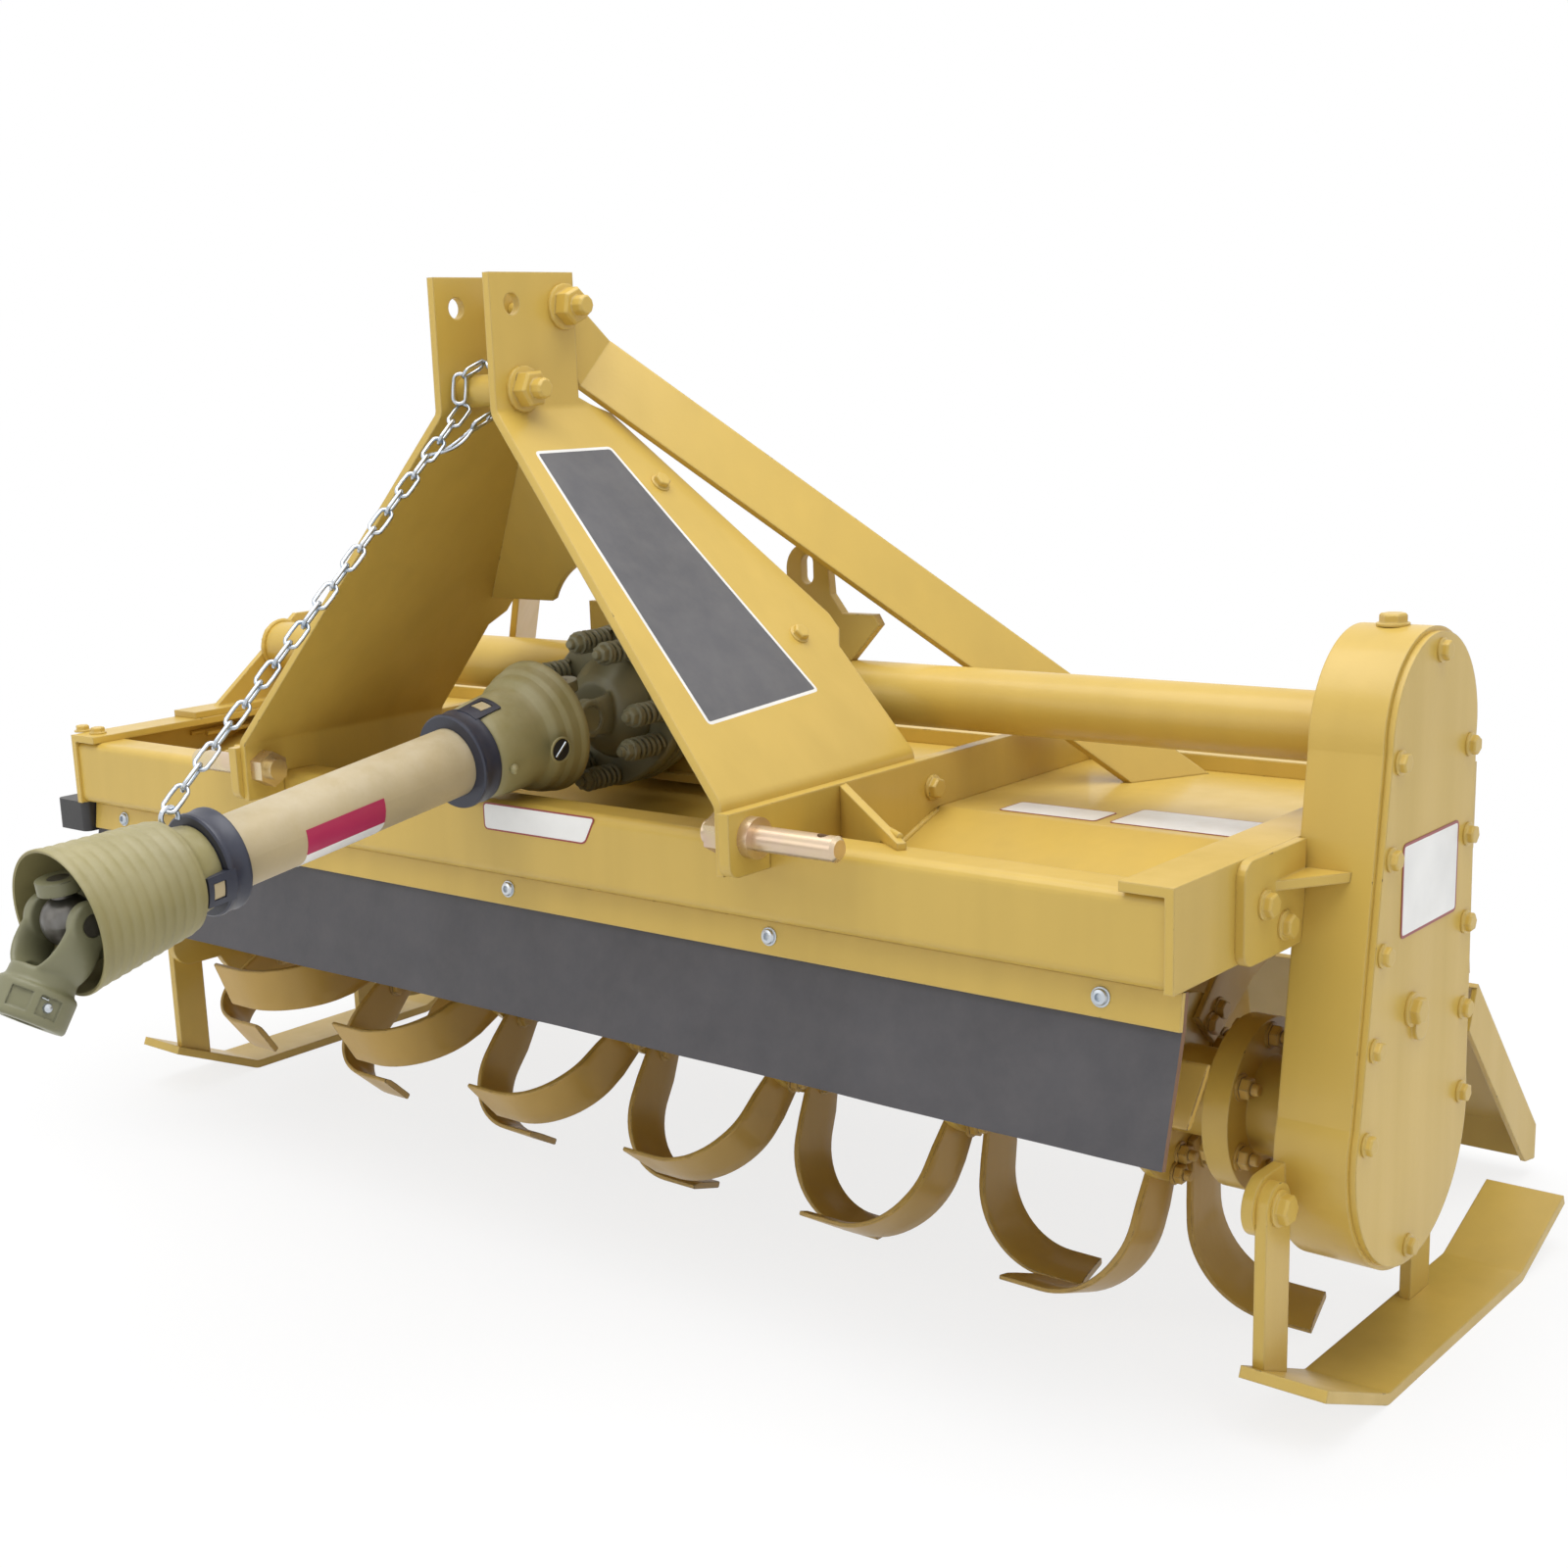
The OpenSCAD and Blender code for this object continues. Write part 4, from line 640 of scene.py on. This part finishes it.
def sticker(name, corners, outward, border, materials):
    """A film on four points, with rounded corners and an edge band of the second material."""
    outward = Vector(outward).normalized() / 1000
    shape = bmesh.new()
    shape.faces.new([shape.verts.new(corner + outward * film_top) for corner in corners])
    bmesh.ops.bevel(shape, geom=shape.verts[:], offset=film_corner, segments=3, affect="VERTICES",
                    profile=0.5)
    bmesh.ops.inset_region(shape, faces=shape.faces[:], thickness=border / 1000, use_even_offset=True,
                           use_boundary=True)
    inner = max(shape.faces, key=lambda face: face.calc_area())
    for part in shape.faces:
        part.material_index = 0 if part == inner else 1
    skirt = bmesh.ops.extrude_face_region(shape, geom=shape.faces[:], use_keep_orig=True)["geom"]
    bmesh.ops.translate(shape, vec=-outward * film_t,
                        verts=[part for part in skirt if isinstance(part, bmesh.types.BMVert)])
    settle(name, shape, materials, "frame")


panel = [at(mast_x(z) + 0.4, y, z + 0.4) for y, z in ((10, 801), (110, 800), (161, 574), (-2, 567))]
sticker("mast_panel", panel, (0.75, 0, 0.66), 3.2, [film_dark, film_white])
sticker("beam_label", [at(x, 0, z) for x, z in ((-14, 471), (136, 471), (121, 444), (-14, 444))],
        (0, -1, 0), 1.6, [film_white, film_edge])
sticker("deck_label_short", [at(x, y, 457.1) for x, y in ((398, 306), (500, 306), (500, 264), (398, 264))],
        (0, 0, 1), 1.4, [film_white, film_edge])
sticker("deck_label_long", [at(x, y, 457.1) for x, y in ((512, 330), (668, 330), (668, 266), (512, 266))],
        (0, 0, 1), 1.4, [film_white, film_edge])
sticker("case_label", [at(790.2, y, z) for y, z in ((240, 474), (352, 474), (352, 396), (240, 396))],
        (1, 0, 0), 2.4, [film_white, film_edge])

# Slip clutch: two lobed iron plates squeezed on friction discs by eight coil springs on
# bolts, in pairs on the lobes, dipped in dark olive paint.
lobe_turn, lobes = -14, 4
bolt_circle, pair_half = 69, 15
turns, wire, coil_r, free = 5.2, 2.4, 9.4, 44


def seat(origin, forward):
    """A frame with Z along forward and X across the machine."""
    z = Vector(forward).normalized()
    x = Vector((1, 0, 0))
    made = Matrix((x, z.cross(x), z)).transposed().to_4x4()
    made.translation = origin
    return made


def slab(shape, outline, place, low, high, edge):
    """A plate of the outline, from low to high along the place's Z, with eased rims."""
    rings = []
    for along, pull in ((low, edge), (low + edge, 0), (high - edge, 0), (high, edge)):
        shrunk = [Vector(point) * (1 - pull / math.hypot(*point)) for point in outline]
        rings.append([put(shape, place, x, y, along) for x, y in shrunk])
    stitch(shape, rings)


def rod(shape, points, radius, sides=8):
    """A round wire along points, closed at both ends."""
    rings, last = [], None
    for i, point in enumerate(points):
        way = (points[min(i + 1, len(points) - 1)] - points[max(i - 1, 0)]).normalized()
        side = last - way * last.dot(way) if last else way.orthogonal()
        last = side.normalized()
        other = way.cross(last)
        rings.append([shape.verts.new(point + radius * (last * c + other * s)) for c, s in circle(sides)])
    stitch(shape, rings)


def lobed(radius, dip):
    """A round outline that dips between its lobes."""
    outline = []
    for i in range(128):
        a = 2 * math.pi * i / 128
        r = radius - dip * (0.5 - 0.5 * math.cos(lobes * (a - math.radians(lobe_turn))))
        outline.append((r * math.cos(a), r * math.sin(a)))
    return outline


joints = {joint["name"]: joint for joint in frame["joints"]}
rear_joint = Vector(joints["driveline_lift"]["pos_m"])
front_joint = Vector(joints["front_yoke_tilt"]["pos_m"])
input_seat = seat(rear_joint, (0, -1, 0))
# Its paler edge colour is a painted highlight on the clutch's edges.
clutch_paint = finish("olive_dip", film, {
    "Colour": (0.245, 0.232, 0.140, 1), "Under": (0.03, 0.028, 0.022, 1), "Thin": (0.30, 0.29, 0.21, 1),
    "Chips": 0.3, "Peel": 0.22, "Grain": 160.0, "Gloss": 0.42})
shape = bmesh.new()
slab(shape, lobed(84, 7), input_seat, -112, -102, 2)
lathe(shape, [(17.5, -140), (17.5, -101.5), (76, -101.5), (77, -100.5), (77, -96), (75, -95), (75, -90),
              (77, -89), (77, -81), (60, -79.5)], input_seat)
slab(shape, lobed(84, 7), input_seat, -81, -72, 2.5)
lathe(shape, [(52, -73), (50, -70), (47, -66), (44, -63.9)], input_seat)
clutch = settle("clutch_plates", shape, clutch_paint, "frame")
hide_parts("slip_clutch")

shape = bmesh.new()
coil = []
for t in (i / 104 for i in range(105)):
    a = 2 * math.pi * turns * t
    coil.append(Vector((coil_r * math.cos(a), coil_r * math.sin(a), wire + (free - 2 * wire) * t)))
rod(shape, coil, wire, 6)
lathe(shape, [(5, 0), (5, free + 12), (4, free + 14)], unscaled, 12)
lathe(shape, [(11.5, free - 1.2), (11.5, free + 1.2)], unscaled, 18)
lathe(shape, [(9.6, free + 1), (9.6, free + 7), (8.6, free + 8.5)], unscaled, 6)
spring_bolt = bpy.data.objects.new("spring_bolt", mesh_of("spring_bolt", shape, 40))
places = []
for i in range(lobes):
    for s in (-pair_half, pair_half):
        a = math.radians(lobe_turn + s + 90 * i)
        foot = input_seat @ (Vector((bolt_circle * math.cos(a), bolt_circle * math.sin(a), -72)) / 1000)
        places.append((foot, (0, -1, 0), 1, 37 * i + s))
springs = set_out("clutch_coils", spring_bolt, places, clutch_paint, "frame")
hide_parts("clutch_springs")
bpy.data.objects.remove(spring_bolt)

# Driveline guard: two polyethylene cones and a tube, moulded in tan, that stand still round
# the turning shaft. The front cone is ribbed like a bellows, the rear one stepped.
guard_seat = seat(rear_joint, front_joint - rear_joint)
cone_plastic = finish("cone_plastic", moulded, {
    "Colour": (0.275, 0.238, 0.102, 1), "Dust": (0.52, 0.47, 0.33, 1), "Dusting": 0.35, "Grain": 180.0,
    "Gloss": 0.48})
tube_plastic = finish("tube_plastic", moulded, {
    "Colour": (0.455, 0.366, 0.212, 1), "Dust": (0.68, 0.62, 0.5, 1), "Dusting": 0.3, "Grain": 240.0,
    "Depth": 0.12, "Gloss": 0.42})
wear(tube_plastic, "guard_tube")
ribs, rib_from, rib_to = 9, 478, 577
outer = [(36.5, 449.5), (37.5, 453), (39.5, 466), (41.5, 471), (47, 474.5), (49.5, 477)]
for i in range(ribs):
    for part, lift in ((0.06, -0.9), (0.22, -0.3), (0.5, 0.3), (0.82, -0.1), (0.97, -0.8)):
        t = (i + part) / ribs
        outer.append((50.2 + 10.6 * t ** 0.9 + lift, rib_from + (rib_to - rib_from) * t))
outer += [(61.4, 579), (62.2, 583), (62.4, 586), (61.6, 587)]
inner = [(59.6, 586.4), (59.0, 580), (47.4, 479.5), (45.5, 477), (38, 474), (34.5, 466), (33.6, 449.5)]
bell = [(42.5, 130.5), (44.5, 128), (46.2, 120), (47.4, 108), (48.4, 94), (49.2, 80), (49.6, 72),
        (51.0, 69.6), (55.2, 66), (57.4, 62), (58.0, 56), (58.4, 54.6), (61.4, 52), (62.2, 49), (62.6, 42),
        (63.0, 40.6), (65.0, 38.4), (65.7, 36), (65.9, 33), (64.6, 31.4)]
bell_inner = [(63.0, 32.2), (62.6, 35), (60.0, 42), (55.6, 56), (50, 67.5), (46.6, 72), (45.4, 94),
              (43.4, 118), (41.4, 126), (39.6, 130.5)]


def on_round(place, turn, out, along, tip=90):
    """A seat on a round form: turned about its axis, out from it, along it and tipped to face out."""
    return (place @ Matrix.Rotation(math.radians(turn), 4, "Z")
            @ Matrix.Translation((out / 1000, 0, along / 1000)) @ Matrix.Rotation(math.radians(tip), 4, "Y"))


shape = bmesh.new()
lathe(shape, outer + inner, guard_seat, 96, loop=True)
lathe(shape, bell + bell_inner, guard_seat, 96, loop=True)
lathe(shape, [(4.4, -2), (4.0, 3), (3.0, 5.5), (1.0, 6.2)], on_round(guard_seat, -16, 48, 118, 50), 14)
cones = settle("guard_mouldings", shape, cone_plastic, "driveline", sharp=60)
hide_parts("guard_cones")

# Tube label: a blank film stuck round the guard tube, crimson above and white below, where
# the tube faces the person who couples the machine.
label_stops, label_low, label_high = [266, 288, 311, 334, 356], 32.6, 33.45
film_crimson = finish("crimson_film", moulded, {
    "Colour": (0.40, 0.022, 0.085, 1), "Grain": 90.0, "Depth": 0.05, "Gloss": 0.34})


def wrap(shape, thetas, stops, low, high, place, skip=()):
    """A bent plate on a round: cells between angles and stops, skip leaving windows."""
    cells = {(i, j) for i in range(len(thetas) - 1) for j in range(len(stops) - 1)} - set(skip)

    def corner(i, j, radius):
        a = math.radians(thetas[i])
        rise = radius(stops[j]) if callable(radius) else radius
        return put(shape, place, rise * math.cos(a), rise * math.sin(a), stops[j])

    for i, j in cells:
        for radius in (low, high):
            shape.faces.new([corner(i + a, j + b, radius) for a, b in ((0, 0), (1, 0), (1, 1), (0, 1))])
        for (a, b), (p, q) in (((-1, 0), ((0, 0), (0, 1))), ((1, 0), ((1, 0), (1, 1))),
                               ((0, -1), ((0, 0), (1, 0))), ((0, 1), ((0, 1), (1, 1)))):
            if (i + a, j + b) not in cells:
                shape.faces.new([corner(i + p[0], j + p[1], low), corner(i + q[0], j + q[1], low),
                                 corner(i + q[0], j + q[1], high), corner(i + p[0], j + p[1], high)])


shape = bmesh.new()
wrap(shape, [8, -2, -13, -24, -34], label_stops, label_low, label_high, guard_seat)
crimson = len(shape.faces)
wrap(shape, [-34.2, -46, -58, -70, -82], label_stops, label_low, label_high, guard_seat)
for face in list(shape.faces)[crimson:]:
    face.material_index = 1
settle("tube_label", shape, [film_crimson, film_white], "driveline")

# Access hole: a round port in the rear cone for the grease gun; its dark inside is a painted shadow disc,
# and a bright zinc wire on it is a painted glint for the edge of the cross behind.
# The port's near-black disc is a painted shadow.
port_dark = finish("port_shadow", moulded, {
    "Colour": (0.012, 0.011, 0.009, 1), "Dusting": 0.0, "Gloss": 0.8})
port = on_round(guard_seat, -7, 60.8, 70, 86)
shape = bmesh.new()
lathe(shape, [(10.5, 0.5), (10.5, 2.6), (9.9, 2.9), (1, 2.9)], port, 28)
settle("grease_port", shape, port_dark, "driveline")
shape = bmesh.new()
lathe(shape, [(12.6, 1.4), (12.8, 3.0), (12.0, 3.6), (10.9, 3.3), (10.4, 1.8)], port, 28, loop=True)
settle("grease_port_rim", shape, cone_plastic, "driveline")
# A bright zinc wire over the disc is a painted highlight: the glint of the cross's edge.
shape = bmesh.new()
glint = ((-0.007, -0.0055, 0.0030), (-0.001, 0.0002, 0.0034), (0.006, 0.0060, 0.0030))
rod(shape, [port @ Vector(point) for point in glint], 0.0013)
settle("grease_port_glint", shape, bright_zinc, "driveline")

# Collars: blue-black nylon rings that lock each cone on the tube, with a latch tab whose
# square window shows the cone.
collar_nylon = finish("collar_nylon", moulded, {
    "Colour": (0.024, 0.027, 0.045, 1), "Dust": (0.12, 0.12, 0.14, 1), "Dusting": 0.3, "Gloss": 0.36})
window = [(i, j) for i in (1, 2, 3) for j in (2, 3, 4)]
shape = bmesh.new()
for low, high in ((130.5, 153.5), (425.5, 448.8)):
    lathe(shape, [(33.4, low), (44.0, low), (45.6, low + 1.4), (46, low + 4), (45.2, low + 6),
                  (45.2, high - 6), (46, high - 4), (45.6, high - 1.4), (44.0, high), (33.4, high)],
          guard_seat, 96, loop=True)
wrap(shape, [-34, -26, -19, -12, -5, 3], [443, 452, 454, 458, 462, 466, 471], 34,
     lambda s: 46.2 - 0.05 * (s - 443), guard_seat, window)
wrap(shape, [57, 64, 70, 76, 82, 89], [136, 128, 124, 119, 114, 109, 104], 42,
     lambda s: 46.3 + 0.10 * (136 - s), guard_seat, window)
collars = settle("guard_collar_rings", shape, collar_nylon, "driveline")
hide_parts("guard_collars")
shape = bmesh.new()
wrap(shape, [-25, -19, -12, -6], [454.6, 460, 465.4], 36, 44.2, guard_seat)
wrap(shape, [65, 70, 76, 81], [123.4, 116, 109.6], 42, 47.8, guard_seat)
settle("latch_windows", shape, tube_plastic, "driveline")

# Joints and yokes: forged steel forks dipped in grey-green paint, on a greased cross, and the
# front one with the quick-release collar that grips the tractor's shaft.
bow_r, bow_centre, bow_half_t, bow_sides = 31.8, 20, 5.6, 20
# Its paler edge colour is a painted highlight on the forks' edges.
fork_paint = finish("grey_green_dip", film, {
    "Colour": (0.185, 0.178, 0.098, 1), "Under": (0.06, 0.055, 0.04, 1), "Thin": (0.34, 0.34, 0.24, 1),
    "Chips": 0.28, "Peel": 0.5, "Grain": 80.0, "Gloss": 0.42})
wear(clutch_paint, "rear_yoke")
wear(fork_paint, "front_inner_yoke")
worn_steel = finish("greased_steel", plated, {
    "Colour": (0.20, 0.195, 0.185, 1), "Tint": (0.10, 0.09, 0.075, 1), "Gloss": 0.38}, metallic=0.8)
wear(worn_steel, "rear_cross", "front_cross", "drive_shaft")
shape = bmesh.new()
for side in (-1, 1):
    cap = Matrix.Translation(rear_joint) @ Matrix.Rotation(side * math.pi / 2, 4, "Y")
    lathe(shape, [(18.4, 33), (18.4, 38.5), (17.2, 40), (13.6, 40), (12.8, 37.8), (1, 37.6)], cap, 40)
settle("bearing_caps", shape, clutch_paint, "frame")


def forged(name, place, hub, cuts, material, body, node_name):
    """A fork: two ears and a bow fused with a turned hub, eased, then bored and cut."""
    blank, tools = bmesh.new(), bmesh.new()
    for side in (-1, 1):
        ear = place @ Matrix.Rotation(side * math.pi / 2, 4, "Y")
        lathe(blank, [(1, 25), (18.2, 25), (19.4, 26.4), (19.4, 35.4), (18, 36.8), (1, 36.8)], ear, 40)
        lathe(tools, [(9.6, 20), (9.6, 45)], ear, 28)
    arm = [(30.8, -2), (31.4, 8), (bow_r, 16)]
    arc = [(bow_r * math.cos(a), bow_centre + bow_r * math.sin(a))
           for a in (math.pi * i / 16 for i in range(17))]
    bow = arm + arc + [(-x, z) for x, z in reversed(arm)]
    rings = []
    for i, (x, z) in enumerate(bow):
        way = (Vector(bow[min(i + 1, len(bow) - 1)]) - Vector(bow[max(i - 1, 0)])).normalized() * bow_half_t
        wide = (16.5 + 3.5 * min(1, max(0, (z - 4) / 40))) * 1.08
        rings.append([put(blank, place, x + way.y * c, wide * s, z - way.x * c)
                      for c, s in circle(bow_sides)])
    stitch(blank, rings)
    lathe(blank, hub, place, 64)
    cuts(tools)
    host, cutter = (bpy.data.objects.new(label, mesh_of(label, form))
                    for label, form in ((name + "_blank", blank), (name + "_tools", tools)))
    for part in (host, cutter):
        scene.collection.objects.link(part)
    fuse = host.modifiers.new("fuse", "REMESH")
    fuse.mode = "VOXEL"
    fuse.voxel_size = 0.0014
    ease = host.modifiers.new("ease", "SMOOTH")
    ease.factor = 0.5
    ease.iterations = 5
    cut = host.modifiers.new("cut", "BOOLEAN")
    cut.operation = "DIFFERENCE"
    cut.object = cutter
    mesh = modified(host)
    bpy.data.objects.remove(cutter)
    mesh.materials.clear()
    mesh.materials.append(material)
    mesh.shade_smooth()
    mesh.set_sharp_from_angle(angle=math.radians(42))
    piece = hang(name, mesh, body)
    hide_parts(node_name)


bore = next(mount for mount in frame["record"]["mounts"] if mount["name"] == "pto_bore")
fork_seat = seat(front_joint, bore["axis"])
clutch_seat = input_seat @ Matrix.Rotation(math.pi, 4, "X")
grip_along = 72.5


def shaft_and_grips(tools):
    lathe(tools, [(17.6, 30), (17.6, 95)], fork_seat, 48)
    for turn in (9, 53, 189, 233):
        pocket = on_round(fork_seat, turn, 33.5, grip_along)
        slab(tools, [(8, 9), (-8, 9), (-8, -9), (8, -9)], pocket, -3.4, 6, 0.4)


def shaft_end(tools):
    lathe(tools, [(14, 60), (14, 95)], clutch_seat, 32)


forged("clutch_fork", clutch_seat,
       [(1, 42), (28, 42), (36, 47), (43, 55), (49, 63), (53, 70), (53, 73), (1, 73)],
       shaft_end, clutch_paint, "frame", "clutch_yoke")
forged("front_fork", fork_seat,
       [(1, 45), (26, 45), (28, 47), (28.4, 57), (31.8, 58.5), (33, 60.5), (33, 85.6), (31.6, 88), (1, 88)],
       shaft_and_grips, fork_paint, "front_yoke", "front_yoke")
shape = bmesh.new()
ball = on_round(fork_seat, 9, 30.1, grip_along)
lathe(shape, [(0.2, -2.4), (3.2, -2.2), (4.4, 0), (3.4, 2.0), (1.6, 2.8), (0.2, 3.0)], ball, 20)
rod(shape, [ball @ Vector((0.006, 0.0022 + 0.0006 * i + 0.0016 * math.sin(1.7 * i),
                           0.0008 + 0.0008 * math.cos(1.7 * i))) for i in range(9)], 0.0006, 6)
settle("release_ball", shape, bright_zinc, "front_yoke")

# Holding chain: zinc-plated welded links that hang the driveline from the mast, with a wire
# hook at the spacer and an eye on the front cone.
link_pitch, link_wire, half_long, half_wide = 0.0234, 0.0020, 0.0137, 0.0060
hook_along = (front_joint - rear_joint).length * 1000 - 112
wrap_r = 0.0215
chain_zinc = finish("chain_zinc", plated, {
    "Colour": (0.60, 0.63, 0.67, 1), "Tint": (0.42, 0.48, 0.55, 1), "Gloss": 0.22}, metallic=0.95)
loop = []
for c, s in circle(20):
    straight = math.copysign(half_long - half_wide, s) if abs(s) > 1e-6 else 0
    loop.append(Vector((half_wide * c, 0, straight + half_wide * s)))
shape = bmesh.new()
across = Vector((0, 1, 0))
rings = []
for i, point in enumerate(loop):
    out = across.cross((loop[(i + 1) % len(loop)] - loop[i - 1]).normalized())
    rings.append([shape.verts.new(point + link_wire * (across * c + out * s)) for c, s in circle(6)])
stitch(shape, rings, loop=True)
chain_link = bpy.data.objects.new("chain_link", mesh_of("chain_link", shape))
foot, head = guard_seat @ (Vector((0, 56, hook_along)) / 1000), at(-21, 32, 857)
way = (head - foot).normalized()
top = head - way * 0.021
count = int((top - foot).length / link_pitch)
places = [(foot.lerp(top, (i + 0.5) / count), tuple(way), 1000, 45 + 90 * (i % 2)) for i in range(count)]
links = set_out("chain_links", chain_link, places, chain_zinc, None)
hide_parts("chain")
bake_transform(links)
places = []
for i in range(5):
    a = math.radians(172 - 62 * i)
    spot = head + Vector((0.0055 * i, wrap_r * math.cos(a), wrap_r * math.sin(a)))
    places.append((spot, (0, math.sin(a), -math.cos(a)), 1000, 45 + 90 * (i % 2)))
tail_from, tail_to = at(4, 27, 835), top - way * 0.066
places.append((tail_from.lerp(tail_to, 0.14), tuple(tail_to - tail_from), 1000, 20))
set_out("chain_round_spacer", chain_link, places, chain_zinc, "frame")
bpy.data.objects.remove(chain_link)
shape = bmesh.new()
near = tail_from.lerp(tail_to, 0.26)
for side in (-1, 1):
    hook = []
    for t in (i / 10 for i in range(11)):
        bulge, sag = 0.0042 * math.sin(math.pi * min(1, t * 1.1)), 0.006 * math.sin(math.pi * t)
        hook.append(near.lerp(tail_to, t) + Vector((side * bulge, 0, -sag)))
    rod(shape, hook, 0.0015)
settle("chain_tail_hook", shape, chain_zinc, "frame")
shape = bmesh.new()
eye = guard_seat @ Matrix.Translation(Vector((0, 49, hook_along)) / 1000)
rod(shape, [eye @ Vector((0.0, 0.0085 * math.sin(a), 0.0085 * math.cos(a)))
            for a in (math.radians(-30 + 12 * i) for i in range(21))], 0.0022)
settle("cone_eye", shape, chain_zinc, "driveline")

# Rotor: a welded tube with flanges, each tine bolted through its flange by two screws, and
# a bolted coupling at the case end.
tine_paint = finish("tine_enamel", film, {
    "Colour": (0.50, 0.31, 0.062, 1), "Under": (0.10, 0.07, 0.045, 1), "Chips": 0.42, "Peel": 0.3,
    "Grain": 120.0, "Gloss": 0.42}, coat=0.1)
axis = Vector(joints["rotor_spin"]["pos_m"])
flanges, flange_from, flange_step = 7, -668, 207.33
per_side, tine_start, tine_step, left_lag = 3, 128, 11, 33
shank_x, shank_from, shank_top, bend_r, half_t, foot_tip = 8.5, 52.0, 203.5, 74.0, 3.5, 127.0
tine_edges = [(52.0, -35.6, 7.6), (113.8, -34.0, 24.3), (207.0, -13.0, 41.0)]


def tine_side(z):
    """Both long edges of the blade, as offsets from its middle, at a distance from the shaft."""
    (z0, a0, b0), (z1, a1, b1) = tine_edges[:2] if z <= tine_edges[1][0] else tine_edges[1:]
    t = min(1, (z - z0) / (z1 - z0))
    return a0 + (a1 - a0) * t, b0 + (b1 - b0) * t


def tine_pattern(name, hand):
    """One blade: shank, rolled bend and foot, with eased rims and a ground leading edge."""
    straight = shank_top - bend_r - shank_from
    rest = foot_tip - shank_x - bend_r
    line = [(0, shank_from + straight * i / 4, 0) for i in range(4)]
    line += [(bend_r * (1 - math.cos(a)), shank_top - bend_r + bend_r * math.sin(a), a)
             for a in (math.pi / 2 * i / 16 for i in range(17))]
    line += [(bend_r + rest * (i + 1) / 6, shank_top, math.pi / 2) for i in range(6)]
    shape = bmesh.new()
    skins = []
    for face in (1, -1):
        grid = []
        for i, (x, z, a) in enumerate(line):
            low, high = tine_side(z)
            ground = min(1, max(0, (i - 9) / 6))
            row = []
            for f in (0.0, 0.04, 0.3, 0.6, 0.82, 0.97, 1.0):
                y = low + (high - low) * f
                cut_back = 1 - (20 * (54 - y) / 108) / rest
                along = bend_r + (x - bend_r) * cut_back if x > bend_r else x
                ease = 0.72 if f in (0.0, 1.0) else 1
                keen = 1 - 0.8 * ground * max(0, (f - 0.78) / 0.22) if face < 0 else 1
                off = face * half_t * ease * keen
                row.append(shape.verts.new(Vector((z + off * math.sin(a), -y,
                                                   hand * (shank_x + along - off * math.cos(a)))) / 1000))
            grid.append(row)
        skins.append(grid)
    plate(shape, *skins)
    return bpy.data.objects.new(name, mesh_of(name, shape, 30))


def tine_turn(i, k, hand):
    return tine_start + tine_step * i + 360 / per_side * k - (left_lag if hand < 0 else 0)


def on_rotor(x, y, z, turn):
    a = math.radians(turn)
    return Vector((x / 1000, axis.y + (y * math.cos(a) - z * math.sin(a)) / 1000,
                   axis.z + (y * math.sin(a) + z * math.cos(a)) / 1000))


for name, hand in (("right_hand_tines", 1), ("left_hand_tines", -1)):
    pattern = tine_pattern(name + "_pattern", hand)
    places = [(on_rotor(flange_from + flange_step * i, 0, 0, 0), (1, 0, 0), 1000, tine_turn(i, k, hand) - 180)
              for i in range(flanges) for k in range(per_side) if hand > 0 or i > 0]
    blades = set_out(name, pattern, places, tine_paint, "rotor")
    if hand > 0:
        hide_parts("tines")
    bpy.data.objects.remove(pattern)

heads, ends = [], []
for i in range(flanges):
    flange = flange_from + flange_step * i
    for k in range(per_side):
        for hand in (1, -1) if i > 0 else (1,):
            for y, z in ((-13, 60), (-10, 78)):
                angle = tine_turn(i, k, hand)
                heads.append((on_rotor(flange + hand * 12.2, y, z, angle), (hand, 0, 0), 10))
                ends.append((on_rotor(flange - hand * 5.2, y, z, angle), (-hand, 0, 0), 10))
for i in range(6):
    heads.append((on_rotor(637.8, 0, 63, 60 * i), (-1, 0, 0), 11))
    ends.append((on_rotor(662.2, 0, 63, 60 * i), (1, 0, 0), 11))
set_out("tine_screws", cap_screw, even_spins(heads), tine_paint, "rotor")
set_out("tine_nuts", stud_nut, even_spins(ends), tine_paint, "rotor")
for pattern in (cap_screw, stud_nut, button):
    bpy.data.objects.remove(pattern)
